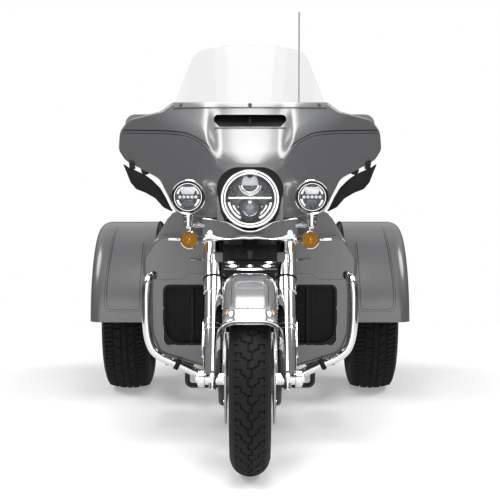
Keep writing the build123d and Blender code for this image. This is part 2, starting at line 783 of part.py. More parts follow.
def inner_fairing():
    """Dash panel that closes the fairing towards the rider, with hood, screen and speaker bosses."""
    inside = fairing_volume(FAIRING_WALL + SEAT_GAP, FAIRING_BACK_Y)
    front = FAIRING_BACK_Y - INNER_PLATE
    plate = inside & block(
        -FAIRING_HIGH, FAIRING_HIGH, front, FAIRING_BACK_Y, FAIRING_LOW, FAIRING_HIGH
    )
    plate -= block(
        -INNER_CUT_HALF_WIDTH, INNER_CUT_HALF_WIDTH, front, FAIRING_BACK_Y, FAIRING_LOW, INNER_CUT_TOP
    )
    plate += block(
        -HOOD_HALF_WIDTH, HOOD_HALF_WIDTH, FAIRING_BACK_Y, FAIRING_BACK_Y + HOOD_DEPTH, HOOD_LOW, HOOD_HIGH
    )
    plate += block(
        -DASH_SCREEN_HALF_WIDTH, DASH_SCREEN_HALF_WIDTH, FAIRING_BACK_Y, FAIRING_BACK_Y + DASH_SCREEN_DEPTH,
        DASH_SCREEN_LOW, DASH_SCREEN_HIGH,
    )
    speaker = lamp_drum(SPEAKER_X, SPEAKER_Z, FAIRING_BACK_Y, FAIRING_BACK_Y + SPEAKER_DEPTH, SPEAKER_RADIUS)
    return plate + both_sides(speaker)


def windshield():
    """Curved clear screen that leans back from the fairing's top edge."""
    rise = SCREEN_TOP - FAIRING_TOP
    back = rise * tan(radians(SCREEN_LEAN))

    def band(z, shift):
        half, depth = SCREEN_HALF_WIDTH, SCREEN_SWEEP
        front, inner = SCREEN_FRONT_Y + shift, SCREEN_FRONT_Y + shift + SCREEN_THICKNESS
        return Plane.XY.offset(z) * make_face([
            ThreePointArc((-half, front + depth), (0, front), (half, front + depth)),
            Line((half, front + depth), (half, inner + depth)),
            ThreePointArc((half, inner + depth), (0, inner), (-half, inner + depth)),
            Line((-half, inner + depth), (-half, front + depth)),
        ])

    sheet = loft([band(FAIRING_TOP + SEAT_GAP, 0), band(SCREEN_TOP, back)], ruled=True)
    shape = mirrored_outline([
        (SCREEN_HALF_WIDTH, FAIRING_TOP, 0),
        (SCREEN_SHOULDER_HALF_WIDTH, SCREEN_TOP - SCREEN_SHOULDER_DROP, SCREEN_CORNER),
        (SCREEN_TOP_HALF_WIDTH, SCREEN_TOP, SCREEN_TOP_ROUND),
    ])
    return sheet & front_prism(shape, SCREEN_FRONT_Y - rise, SCREEN_FRONT_Y + back + SCREEN_SWEEP + rise)


def air_deflectors():
    """Dark blades under the fairing's wings, each hung from a bracket."""
    blade = front_prism(polygon(DEFLECTOR_OUTLINE), DEFLECTOR_Y, DEFLECTOR_Y + DEFLECTOR_THICKNESS)
    half = DEFLECTOR_BRACKET_WIDTH / 2
    top = FAIRING_OUTLINE[3][1]
    bracket = block(
        DEFLECTOR_BRACKET_X - half, DEFLECTOR_BRACKET_X + half, DEFLECTOR_Y,
        DEFLECTOR_Y + DEFLECTOR_BRACKET_WIDTH, top - DEFLECTOR_BRACKET_DROP, top,
    )
    solid = fairing_volume(0, FAIRING_BACK_Y)
    return both_sides((blade + bracket) - solid)


# Lamps
def headlamp_housing():
    """Dark bucket that fills the fairing's arch behind the headlamp."""
    back = HEADLAMP_FRONT_Y + HEADLAMP_RING_DEPTH
    return front_prism(housing_outline(0), back, back + HOUSING_DEPTH)


def lamp_bezels():
    """Plated headlamp ring, and the two passing lamps' shells, each hollowed for its lens."""
    back = HEADLAMP_FRONT_Y + HEADLAMP_RING_DEPTH
    ring = lamp_drum(0, HEADLAMP_Z, HEADLAMP_FRONT_Y, back, HEADLAMP_RADIUS)
    ring = fillet(ring.edges().group_by(Axis.Y)[0], HEADLAMP_RADIUS - HEADLAMP_LENS_RADIUS - 1)
    ring -= lamp_drum(0, HEADLAMP_Z, HEADLAMP_FRONT_Y, back, HEADLAMP_LENS_RADIUS)
    shell_back = PASSING_FRONT_Y + PASSING_DEPTH
    shell = lamp_drum(PASSING_X, PASSING_Z, PASSING_FRONT_Y, shell_back, PASSING_RADIUS)
    shell = fillet(shell.edges().group_by(Axis.Y)[-1], PASSING_RADIUS * 0.6)
    pocket = PASSING_FRONT_Y + LENS_RECESS + LENS_THICKNESS
    shell -= lamp_drum(PASSING_X, PASSING_Z, PASSING_FRONT_Y, pocket, PASSING_LENS_RADIUS + SEAT_GAP)
    return ring + both_sides(shell)


def lamp_lenses():
    """Headlamp and passing lamp lenses, each seated in its bezel."""
    back = HEADLAMP_FRONT_Y + HEADLAMP_RING_DEPTH
    main = lamp_drum(0, HEADLAMP_Z, HEADLAMP_FRONT_Y + 2 * LENS_RECESS, back, HEADLAMP_LENS_RADIUS - SEAT_GAP)
    front = PASSING_FRONT_Y + LENS_RECESS
    small = lamp_drum(PASSING_X, PASSING_Z, front, front + LENS_THICKNESS, PASSING_LENS_RADIUS)
    return main + both_sides(small)


def turn_signals():
    """Amber front signals under the passing lamps."""
    body = lamp_drum(SIGNAL_X, SIGNAL_Z, SIGNAL_FRONT_Y, SIGNAL_FRONT_Y + SIGNAL_DEPTH, SIGNAL_RADIUS)
    return both_sides(fillet(body.edges().group_by(Axis.Y)[0], SIGNAL_RADIUS * 0.3))


def bar_stay(gap):
    """Left stay from the light bar back to the fork tube, grown by gap."""
    back = BAR_BACK_Y + BAR_STAY_LENGTH
    stay = bar((FORK_X, BAR_BACK_Y, BAR_STAY_Z), (FORK_X, back, BAR_STAY_Z), BAR_STAY_RADIUS + gap)
    stay -= bar(fork_point(FORK_X, SLIDER_HIGH), fork_point(FORK_X, COVER_HIGH), COVER_RADIUS + SEAT_GAP)
    stay -= bar(fork_point(FORK_X, COVER_HIGH), fork_point(FORK_X, FORK_TUBE_HIGH), FORK_TUBE_RADIUS + SEAT_GAP)
    return stay.solids().sort_by(Axis.Y)[0]


def light_bar():
    """Plated bar across the fork with raised ends, and the posts that carry the lamps."""
    plate = front_prism(mirrored_outline(BAR_OUTLINE), BAR_FRONT_Y, BAR_BACK_Y)
    post_y = PASSING_FRONT_Y + PASSING_DEPTH / 2
    post = bar((PASSING_X, post_y, SIGNAL_Z), (PASSING_X, post_y, PASSING_Z), STEM_POST_RADIUS)
    post -= lamp_drum(PASSING_X, PASSING_Z, PASSING_FRONT_Y, PASSING_FRONT_Y + PASSING_DEPTH, PASSING_RADIUS)
    post -= lamp_drum(SIGNAL_X, SIGNAL_Z, SIGNAL_FRONT_Y, SIGNAL_FRONT_Y + SIGNAL_DEPTH, SIGNAL_RADIUS)
    arm_z = BAR_END_HIGH - BAR_ARM_DROP
    arm_start = (BAR_HALF_WIDTH - BAR_ARM_RADIUS, (BAR_FRONT_Y + BAR_BACK_Y) / 2, arm_z)
    arm = bar(arm_start, (PASSING_X, post_y, arm_z), BAR_ARM_RADIUS)
    return plate + both_sides(post + arm + bar_stay(0))


def fork_skirt():
    """Painted panel behind the light bar, between the fork and the fairing's lower edge."""
    front = BAR_BACK_Y + SEAT_GAP
    plate = block(
        -SKIRT_HALF_WIDTH, SKIRT_HALF_WIDTH, front, front + SKIRT_THICKNESS, SKIRT_LOW, SKIRT_HIGH
    )
    return plate - both_sides(bar_stay(SEAT_GAP))


# Controls
def handlebar():
    """Bent handlebar, clamped on the risers and ending inside the grips."""
    half = tube(HANDLEBAR_ROUTE, BAR_RADIUS, HANDLEBAR_BEND)
    whole = both_sides(half)
    bar_y, bar_z = HANDLEBAR_ROUTE[0][1:]
    foot = steer_point(UPPER_CLAMP_Z)
    riser = bar((62, foot[1] + 16, foot[2]), (62, bar_y, bar_z), STEM_RADIUS)
    return whole - both_sides(riser)


def hand_controls():
    """Grips with their switch housings and levers."""
    end, bend = Vector(*HANDLEBAR_ROUTE[-1]), Vector(*HANDLEBAR_ROUTE[-2])
    along = (end - bend).normalized()
    start = end - along * GRIP_LENGTH
    tip = end + along * SHELL
    grip = bar(tuple(start), tuple(tip), GRIP_RADIUS)
    housing = bar(tuple(start - along * 34), tuple(start), GRIP_RADIUS + 7)
    beside = Vector(along.Y, -along.X, 0).normalized()
    lever_root = start - along * 20 + beside * 46
    lever_tip = end - along * 10 + beside * 52
    lever = bar(tuple(lever_root), tuple(lever_tip), 7)
    perch = bar(tuple(start - along * 20), tuple(lever_root), 9)
    hole = bar(tuple(start - along * 60), tuple(end), BAR_RADIUS + SEAT_GAP)
    return both_sides((grip + housing + perch + lever) - hole)


def mirrors():
    """Mirrors on short stems, fixed to the dash panel inside the fairing's wings."""
    front = FAIRING_BACK_Y + MIRROR_STEM
    head = RectangleRounded(MIRROR_WIDTH, MIRROR_HEIGHT, MIRROR_HEIGHT * 0.42)
    glass = front_prism(Pos(MIRROR_X, MIRROR_Z) * head, front, front + MIRROR_DEPTH)
    stem = lamp_drum(MIRROR_X - MIRROR_WIDTH / 4, MIRROR_Z - MIRROR_HEIGHT / 5, FAIRING_BACK_Y, front, 12)
    return both_sides(glass + stem)


# Frame and running gear
def backbone(gap):
    """Tube from the steering head over the engine to the seat rails, grown by gap."""
    neck = steer_point((LOWER_CLAMP_Z + UPPER_CLAMP_Z) / 2)
    spine = [
        neck,
        (0, neck[1] + 120, BACKBONE_Z),
        (0, BACKBONE_END_Y - 60, BACKBONE_Z),
        (0, BACKBONE_END_Y, RAIL_Z),
    ]
    return tube(spine, BACKBONE_RADIUS + gap, BACKBONE_RADIUS + 10)


def cradle(gap):
    """Left downtube, lower rail and rear upright as one bent tube, grown by gap."""
    shoulder = steer_point(LOWER_CLAMP_Z + LOWER_CLAMP_HEIGHT / 2 + 4 + HEAD_TUBE_RADIUS)
    route = [
        (0, shoulder[1] + 8, shoulder[2]),
        (CRADLE_X, DOWNTUBE_Y, 620),
        (CRADLE_X, DOWNTUBE_Y + 6, CRADLE_Z + 60),
        (CRADLE_X, DOWNTUBE_Y + 70, CRADLE_Z),
        (CRADLE_X, CRADLE_REAR_Y - 40, CRADLE_Z),
        (CRADLE_X, CRADLE_REAR_Y, CRADLE_Z + 60),
        (RAIL_X, CRADLE_REAR_Y, RAIL_Z),
    ]
    return tube(route, CRADLE_RADIUS + gap, 30)


def frame():
    """Tubular frame: head tube, backbone, twin cradle, seat rails and swingarm pivot plates."""
    clamp_half = LOWER_CLAMP_HEIGHT / 2 + 4
    low, high = steer_point(LOWER_CLAMP_Z + clamp_half), steer_point(UPPER_CLAMP_Z - clamp_half)
    tubes = bar(low, high, HEAD_TUBE_RADIUS)
    tubes += backbone(0) + both_sides(cradle(0))
    rail = bar((RAIL_X, BACKBONE_END_Y - 40, RAIL_Z), (RAIL_X, BODY_FRONT_Y, RAIL_Z), RAIL_RADIUS)
    tubes += both_sides(rail)
    tubes += drum(-RAIL_X, RAIL_X, BACKBONE_END_Y - 20, RAIL_Z, RAIL_RADIUS)
    plate = block(
        CRADLE_X - PIVOT_PLATE_THICKNESS / 2, CRADLE_X + PIVOT_PLATE_THICKNESS / 2,
        PIVOT_PLATE_Y - PIVOT_PLATE_WIDTH / 2, PIVOT_PLATE_Y + PIVOT_PLATE_WIDTH / 2, CRADLE_Z, PIVOT_PLATE_TOP,
    )
    tubes += both_sides(plate)
    return tubes - bar(steer_point(LOWER_CLAMP_Z), steer_point(UPPER_CLAMP_Z), STEM_RADIUS + RUNNING_GAP)


def rear_axle():
    """Rigid axle housing with its final drive, swingarm, shocks and the stubs that carry the wheels."""
    housing = drum(-AXLE_FLANGE_X, AXLE_FLANGE_X, REAR_AXLE_Y, REAR_AXLE_Z, AXLE_HOUSING_RADIUS)
    housing += drum(-DIFF_WIDTH / 2, DIFF_WIDTH / 2, REAR_AXLE_Y, REAR_AXLE_Z, DIFF_RADIUS)
    stub_end = REAR_TRACK / 2 + REAR_RIM_WIDTH / 2
    housing += drum(-stub_end, stub_end, REAR_AXLE_Y, REAR_AXLE_Z, REAR_STUB_RADIUS)
    half = ARM_HEIGHT / 2
    side_view = polygon([
        (PIVOT_PLATE_Y - half, REAR_AXLE_Z - half, 8), (REAR_AXLE_Y, REAR_AXLE_Z - half, 8),
        (REAR_AXLE_Y, REAR_AXLE_Z + half, 8), (PIVOT_PLATE_Y - half, REAR_AXLE_Z + half, 8),
    ])
    arm = side_prism(side_view, ARM_X - ARM_WIDTH / 2, ARM_X + ARM_WIDTH / 2)
    pivot_half = CRADLE_X - PIVOT_PLATE_THICKNESS / 2
    housing += both_sides(arm) + drum(-pivot_half, pivot_half, PIVOT_PLATE_Y, REAR_AXLE_Z, half)
    shock = bar((SHOCK_X, REAR_AXLE_Y, REAR_AXLE_Z), (SHOCK_X, REAR_AXLE_Y, BODY_FLOOR), SHOCK_RADIUS)
    return housing + both_sides(shock)


def guard_loop(gap):
    """Left crash bar's tube, grown by gap."""
    return tube(GUARD_ROUTE, GUARD_RADIUS + gap, GUARD_BEND)


def engine_guard():
    """Plated crash bars that loop round the lower fairings and end on the downtubes."""
    loop = guard_loop(0) - cradle(SEAT_GAP)
    return both_sides(loop.solids().sort_by(SortBy.VOLUME)[-1])


# Engine
def along_cylinder(sign, distance):
    """Plane square to a cylinder's axis, at a distance from the crank."""
    lean = radians(V_HALF_ANGLE) * sign
    axis = (0, sin(lean), cos(lean))
    origin = (0, CRANK_Y + distance * sin(lean), CRANK_Z + distance * cos(lean))
    return Plane(origin=origin, x_dir=(1, 0, 0), z_dir=axis)


def crankcase():
    """Crankcase and gearbox as one block, carried on the cradle."""
    bottom = CRADLE_Z + CRADLE_RADIUS
    case = block(-CASE_HALF_WIDTH, CASE_HALF_WIDTH, CASE_FRONT_Y, CASE_BACK_Y, bottom, CASE_TOP)
    case = fillet(case.edges().filter_by(Axis.X), 46)
    case += block(-CRADLE_X, CRADLE_X, CRANK_Y - FOOT_LENGTH / 2, CRANK_Y + FOOT_LENGTH / 2, bottom, bottom + FOOT_HEIGHT)
    for sign in (-1, 1):
        case += extrude(along_cylinder(sign, 0) * Circle(SPIGOT_RADIUS), amount=FIN_FIRST)
    fin_space = 2 * FIN_HALF_SIZE + 2 * SEAT_GAP
    for sign in (-1, 1):
        case -= extrude(along_cylinder(sign, FIN_FIRST) * Rectangle(fin_space, fin_space), amount=FIN_FIRST)
    return case


def cylinders():
    """Two finned barrels and heads in a narrow V."""
    fins_top = FIN_FIRST + FIN_COUNT * FIN_PITCH
    metal = None
    for sign in (-1, 1):
        barrel = extrude(along_cylinder(sign, FIN_FIRST + SEAT_GAP) * Circle(BARREL_RADIUS), amount=fins_top - FIN_FIRST)
        for index in range(FIN_COUNT):
            size = 2 * FIN_HALF_SIZE
            fin = RectangleRounded(size, size * 0.94, FIN_HALF_SIZE * 0.5)
            place = along_cylinder(sign, FIN_FIRST + FIN_PITCH * (index + 0.5))
            barrel += extrude(place * fin, amount=FIN_THICKNESS)
        head = RectangleRounded(2 * FIN_HALF_SIZE, 2 * FIN_HALF_SIZE * 0.92, FIN_HALF_SIZE * 0.3)
        barrel += extrude(along_cylinder(sign, fins_top) * head, amount=HEAD_HEIGHT)
        metal = barrel if metal is None else metal + barrel
    return metal


def engine_covers():
    """Plated rocker boxes, primary cover on the left and cam cover on the right."""
    top = FIN_FIRST + FIN_COUNT * FIN_PITCH + HEAD_HEIGHT
    shapes = None
    for sign in (-1, 1):
        box = RectangleRounded(2 * ROCKER_HALF_WIDTH, 2 * ROCKER_HALF_LENGTH, 20)
        cover = extrude(along_cylinder(sign, top) * box, amount=ROCKER_HEIGHT)
        cover = fillet(cover.faces().sort_by(Axis((0, 0, 0), (0, sin(radians(V_HALF_ANGLE) * sign), cos(radians(V_HALF_ANGLE)))))[-1].edges(), 14)
        shapes = cover if shapes is None else shapes + cover
    front_y = CRANK_Y - 60
    rear_y = front_y + PRIMARY_LENGTH - 40
    hull = make_hull([
        *(Pos(front_y, PRIMARY_Z) * Circle(PRIMARY_FRONT_RADIUS)).edges(),
        *(Pos(rear_y, PRIMARY_Z) * Circle(PRIMARY_REAR_RADIUS)).edges(),
    ])
    primary = side_prism(hull, CASE_HALF_WIDTH, CASE_HALF_WIDTH + PRIMARY_DEPTH)
    primary = fillet(primary.faces().sort_by(Axis.X)[-1].edges(), 26)
    cam = drum(-CASE_HALF_WIDTH - CAM_COVER_DEPTH, -CASE_HALF_WIDTH, CRANK_Y, CRANK_Z, CAM_COVER_RADIUS)
    cam = fillet(cam.faces().sort_by(Axis.X)[0].edges(), 18)
    return shapes + primary + cam


def air_cleaner():
    """Round air cleaner on the right, on a neck that reaches in between the cylinders."""
    outer = -CASE_HALF_WIDTH - AIR_CLEANER_DEPTH - 30
    pod = drum(outer, outer + AIR_CLEANER_DEPTH, CRANK_Y, AIR_CLEANER_Z, AIR_CLEANER_RADIUS)
    pod = fillet(pod.faces().sort_by(Axis.X)[0].edges(), 16)
    return pod + drum(
        outer + AIR_CLEANER_DEPTH, -FIN_HALF_SIZE - SEAT_GAP, CRANK_Y, AIR_CLEANER_Z, AIR_CLEANER_NECK
    )


def exhaust():
    """Header on the right, crossover under the gearbox, and a muffler on each side."""
    pipes = tube(HEADER_ROUTE, PIPE_RADIUS, PIPE_BEND)
    back = BODY_REAR_Y - MUFFLER_SETBACK
    for sign in (-1, 1):
        x = MUFFLER_X * sign
        link = [
            (HEADER_X * sign, CROSSOVER_Y - 20, CROSSOVER_Z),
            (HEADER_X * sign, CROSSOVER_Y + 30, CROSSOVER_Z),
            (x, MUFFLER_FRONT_Y - 40, MUFFLER_Z),
            (x, MUFFLER_FRONT_Y + 10, MUFFLER_Z),
        ]
        pipes += tube(link, PIPE_RADIUS, PIPE_RADIUS + 1)
        can = bar((x, MUFFLER_FRONT_Y, MUFFLER_Z), (x, back, MUFFLER_Z), MUFFLER_RADIUS)
        can = fillet(can.edges().group_by(Axis.Y)[0], MUFFLER_RADIUS * 0.45)
        can -= bar((x, back - MUFFLER_RADIUS, MUFFLER_Z), (x, back, MUFFLER_Z), MUFFLER_RADIUS - SHELL)
        pipes += can
        pipes += block(
            x - HANGER_THICKNESS / 2, x + HANGER_THICKNESS / 2, HANGER_Y - HANGER_WIDTH / 2,
            HANGER_Y + HANGER_WIDTH / 2, MUFFLER_Z + MUFFLER_RADIUS - SHELL, BODY_FLOOR,
        )
    return pipes


# Body
def fuel_tank():
    """Saddle tank over the backbone, with a raised console along its top."""
    sections = []
    for y, half, top, corner in TANK_SECTIONS:
        face = polygon([
            (half * 0.86, TANK_BOTTOM, corner * 0.4), (half, (TANK_BOTTOM + top) / 2, corner),
            (half * 0.62, top, corner), (-half * 0.62, top, corner),
            (-half, (TANK_BOTTOM + top) / 2, corner), (-half * 0.86, TANK_BOTTOM, corner * 0.4),
        ])
        sections.append(Plane.XZ.offset(-y) * face)
    tank = loft(sections)
    front, back = TANK_SECTIONS[0][0], TANK_SECTIONS[-1][0]
    tunnel_top = BACKBONE_Z + BACKBONE_RADIUS + SEAT_GAP
    return tank - block(-TUNNEL_HALF_WIDTH, TUNNEL_HALF_WIDTH, front, back, TANK_BOTTOM, tunnel_top)


def seat():
    """Rider's and passenger's seat in one stepped cushion."""
    front, back = SEAT_TOP[0][0], SEAT_BACK_Y
    step = BODY_FRONT_Y - SEAT_GAP
    deck = BODY_TOP + SEAT_GAP
    rows = [(front, SEAT_BOTTOM, 10), *SEAT_TOP, (back, SEAT_BACK_Z, SEAT_BACK_ROUND), (back, deck, 8)]
    rows += [(step, deck, 0), (step, SEAT_BOTTOM, 8)]
    cushion = side_prism(polygon(rows), -SEAT_HALF_WIDTH, SEAT_HALF_WIDTH)
    taper = plan_prism(polygon([
        (-92, front, 30), (92, front, 30), (SEAT_HALF_WIDTH, 120, 60), (SEAT_HALF_WIDTH - 10, back, 50),
        (-SEAT_HALF_WIDTH + 10, back, 50), (-SEAT_HALF_WIDTH, 120, 60),
    ]), SEAT_BOTTOM, SEAT_BACK_Z)
    return (cushion & taper) - backbone(SEAT_GAP)


def side_covers():
    """Battery box between the seat rails, with a painted cover on each side."""
    box = block(
        -BATTERY_HALF_WIDTH, BATTERY_HALF_WIDTH, BATTERY_FRONT_Y, BATTERY_BACK_Y, BATTERY_LOW, RAIL_Z - RAIL_RADIUS
    )
    shape = Pos((BATTERY_FRONT_Y + BATTERY_BACK_Y) / 2, (BATTERY_LOW + RAIL_Z - RAIL_RADIUS) / 2) * RectangleRounded(
        BATTERY_BACK_Y - BATTERY_FRONT_Y, RAIL_Z - RAIL_RADIUS - BATTERY_LOW, SIDE_COVER_CORNER
    )
    cover = side_prism(shape, BATTERY_HALF_WIDTH, BATTERY_HALF_WIDTH + SIDE_COVER_THICKNESS)
    return box + both_sides(fillet(cover.faces().sort_by(Axis.X)[-1].edges(), 10))


def lower_fairing():
    """Left leg shield: a shell open behind, with the radiator's window, a crash bar passage and a pod on top."""
    back = LOWER_FRONT_Y + LOWER_DEPTH
    shape = polygon(LOWER_OUTLINE)
    shell = front_prism(shape, LOWER_FRONT_Y, back)
    shell = fillet(shell.faces().sort_by(Axis.Y)[0].edges(), LOWER_EDGE)
    inner = front_prism(offset(shape, amount=-LOWER_WALL), LOWER_FRONT_Y + LOWER_WALL, back)
    inner = fillet(inner.faces().sort_by(Axis.Y)[0].edges(), LOWER_EDGE - LOWER_WALL)
    shell -= inner
    shell -= front_prism(grille_outline(SEAT_GAP), LOWER_FRONT_Y, LOWER_FRONT_Y + LOWER_WALL)
    pod_shape = polygon(POD_OUTLINE)
    pod = front_prism(pod_shape, POD_FRONT_Y, back)
    pod -= front_prism(offset(pod_shape, amount=-LOWER_WALL), POD_FRONT_Y + LOWER_WALL, back)
    return shell + pod - guard_loop(SEAT_GAP)


def grille_outline(gap):
    """Window of the left leg shield, grown by gap."""
    width, height = GRILLE_OUTER - GRILLE_INNER, GRILLE_HIGH - GRILLE_LOW
    middle = Pos((GRILLE_INNER + GRILLE_OUTER) / 2, (GRILLE_LOW + GRILLE_HIGH) / 2)
    return middle * RectangleRounded(width + 2 * gap, height + 2 * gap, GRILLE_CORNER)


def radiators():
    """Radiator behind each leg shield's window, faced with upright slats."""
    face = LOWER_FRONT_Y + LOWER_WALL + SEAT_GAP
    core = front_prism(grille_outline(RADIATOR_FLANGE), face, face + RADIATOR_DEPTH)
    pitch = (GRILLE_OUTER - GRILLE_INNER) / (GRILLE_SLATS + 1)
    for index in range(GRILLE_SLATS):
        x = GRILLE_INNER + pitch * (index + 1)
        core += block(
            x - SLAT_HEIGHT / 2, x + SLAT_HEIGHT / 2, LOWER_FRONT_Y + SLAT_RECESS, face,
            GRILLE_LOW + GRILLE_CORNER, GRILLE_HIGH - GRILLE_CORNER,
        )
    return both_sides(core - guard_loop(SEAT_GAP))


def footboards():
    """Rider's and passenger's footboards, each on a bent bracket from the cradle."""
    boards = None
    for x, y, z, length, width in FOOTBOARDS:
        plan = Pos(x, y) * RectangleRounded(width, length, FOOTBOARD_CORNER)
        board = plan_prism(plan, z - FOOTBOARD_THICKNESS, z)
        root = CRADLE_X + CRADLE_RADIUS + SEAT_GAP
        route = [(root, y, CRADLE_Z), (FOOTBOARD_BRACKET_X, y, CRADLE_Z), (FOOTBOARD_BRACKET_X, y, z - FOOTBOARD_THICKNESS / 2)]
        board += tube(route, FOOTBOARD_BRACKET_RADIUS, FOOTBOARD_BRACKET_BEND)
        boards = board if boards is None else boards + board
    return both_sides(boards)


# Rear body
def body_outline(inset):
    """Cross section of the trunk, drawn in by inset."""
    half = BODY_HALF_WIDTH - inset
    return mirrored_outline([
        (half - 8, BODY_FLOOR + inset, 20),
        (half, BODY_SHOULDER_Z, 40),
        (BODY_SHOULDER_HALF_WIDTH - inset, BODY_TOP - inset, BODY_SHOULDER_RADIUS),
    ])


def rear_face(setback):
    """Everything behind the trunk's leaning rear face, moved in by setback."""
    lean = radians(BODY_REAR_LEAN)
    origin = (0, BODY_REAR_Y - setback / cos(lean), BODY_FLOOR)
    plane = Plane(origin=origin, x_dir=(1, 0, 0), z_dir=(0, cos(lean), sin(lean)))
    return plane * Pos(0, 0, OVERALL_LENGTH / 2) * Box(OVERALL_LENGTH, OVERALL_LENGTH, OVERALL_LENGTH)


def door_outline(gap):
    """Trunk door's outline seen from behind, grown by gap."""
    width, height = 2 * DOOR_HALF_WIDTH, DOOR_HIGH - DOOR_LOW
    return Pos(0, (DOOR_LOW + DOOR_HIGH) / 2) * RectangleRounded(width + 2 * gap, height + 2 * gap, DOOR_CORNER)


def door_hinge():
    """Hinge line of the trunk door, just behind the rear face and under the door."""
    z = DOOR_LOW - HINGE_RADIUS - SHELL / 2
    face = BODY_REAR_Y - (z - BODY_FLOOR) * tan(radians(BODY_REAR_LEAN))
    return face + HINGE_RADIUS + SHELL / 2, z


def trunk_body():
    """Hollow trunk between the rear fenders, open behind for its door."""
    shell = front_prism(body_outline(0), BODY_FRONT_Y, BODY_REAR_Y) - rear_face(0)
    inside = front_prism(body_outline(BODY_WALL), BODY_FRONT_Y + BODY_WALL, BODY_REAR_Y) - rear_face(BODY_WALL)
    shell -= inside
    shell -= front_prism(door_outline(SWING_GAP), BODY_FRONT_Y + 4 * BODY_WALL, BODY_REAR_Y + BODY_WALL)
    y, z = door_hinge()
    low, high = HINGE_HALF_LENGTH + SEAT_GAP, HINGE_HALF_LENGTH + HINGE_EAR
    ear = drum(low, high, y, z, HINGE_RADIUS)
    ear += block(low, high, y - HINGE_RADIUS - BODY_WALL, y, z - HINGE_RADIUS, z) & rear_face(0)
    return shell + both_sides(ear) + drum(-high, high, y, z, HINGE_PIN_RADIUS)


def trunk_door():
    """Trunk door, hinged along its lower edge and leaning with the rear face."""
    slab = front_prism(door_outline(0), BODY_FRONT_Y, BODY_REAR_Y + BODY_WALL)
    slab &= rear_face(BODY_WALL) - rear_face(-DOOR_PROUD)
    y, z = door_hinge()
    half = HINGE_HALF_LENGTH
    slab += drum(-half, half, y, z, HINGE_RADIUS)
    slab += block(-half, half, y - HINGE_RADIUS, y - HINGE_RADIUS / 2, z, DOOR_LOW + 2 * HINGE_RADIUS)
    return slab - drum(-half, half, y, z, HINGE_PIN_RADIUS + RUNNING_GAP)


def rear_valance():
    """Panel under the trunk, between the fender tails."""
    back = BODY_REAR_Y - 20
    return block(
        -BODY_HALF_WIDTH + 8, BODY_HALF_WIDTH - 8, back - VALANCE_THICKNESS, back, VALANCE_LOW, BODY_FLOOR
    )


def fender_profile(inset, drop):
    """Side view of a rear fender, drawn in by inset and carried below its hem by drop."""
    radius = FENDER_ARCH_RADIUS - inset
    low, tail_low = FENDER_FRONT_LOW - drop, FENDER_TAIL_LOW - drop
    front = (REAR_AXLE_Y - sqrt(radius**2 - (low - REAR_AXLE_Z) ** 2), low)
    top = (REAR_AXLE_Y, REAR_AXLE_Z + radius)
    quarter = (REAR_AXLE_Y - radius * sin(radians(45)), REAR_AXLE_Z + radius * sin(radians(45)))
    tail_top = (FENDER_TAIL_TOP_Y - inset, FENDER_TAIL_TOP_Z - inset)
    tail = (FENDER_TAIL_Y - inset, FENDER_TAIL_BEND_Z)
    roof = TangentArc(top, tail_top, tangent=(1, 0))
    hem = Polyline(tail, (tail[0], tail_low), (REAR_AXLE_Y + WHEEL_OPENING_RADIUS, low), front)
    return make_face([ThreePointArc(front, quarter, top), roof, TangentArc(tail_top, tail, tangent=roof % 1), hem])


def fender_block(inset, drop, inner_x, outer_x, corner):
    """Rear fender's side view made solid, with its outer edge rounded."""
    solid = side_prism(fender_profile(inset, drop), inner_x, outer_x)
    edges = solid.faces().sort_by(Axis.X)[-1].edges().sort_by(Axis.Z)
    return fillet(edges[2:], corner)


def rear_fender():
    """Left rear fender: a deep shell over the wheel, open below and at the wheel opening."""
    inner_x = BODY_HALF_WIDTH + SEAT_GAP
    shell = fender_block(0, 0, inner_x, FENDER_OUTER_X, FENDER_OUTER_FILLET)
    shell -= fender_block(
        FENDER_WALL, FENDER_WALL, inner_x + FENDER_WALL, FENDER_OUTER_X - FENDER_WALL,
        FENDER_OUTER_FILLET - FENDER_WALL,
    )
    shell -= drum(inner_x, FENDER_OUTER_X, REAR_AXLE_Y, REAR_AXLE_Z, AXLE_HOUSING_RADIUS + SWING_GAP)
    return shell - drum(inner_x + 100, FENDER_OUTER_X + 1, REAR_AXLE_Y, REAR_AXLE_Z, WHEEL_OPENING_RADIUS)


def tail_lamps():
    """Red lamps on the fender tails."""
    shape = Pos(TAIL_LAMP_X, TAIL_LAMP_Z) * RectangleRounded(TAIL_LAMP_WIDTH, TAIL_LAMP_HEIGHT, 24)
    return both_sides(front_prism(shape, FENDER_TAIL_Y, FENDER_TAIL_Y + TAIL_LAMP_DEPTH))


# Top case
def case_block(inset, low, high):
    """Rounded block of the top case between two heights, drawn in by inset."""
    plan = Pos(0, CASE_Y) * RectangleRounded(
        2 * (TOP_CASE_HALF_WIDTH - inset), TOP_CASE_LENGTH - 2 * inset, TOP_CASE_CORNER - inset
    )
    return plan_prism(plan, low, high)


def lid_hinge():
    """Hinge line of the top case's lid, beside its right wall at the seam."""
    return -TOP_CASE_HALF_WIDTH - HINGE_RADIUS, TOP_CASE_SPLIT + TOP_CASE_SEAM / 2


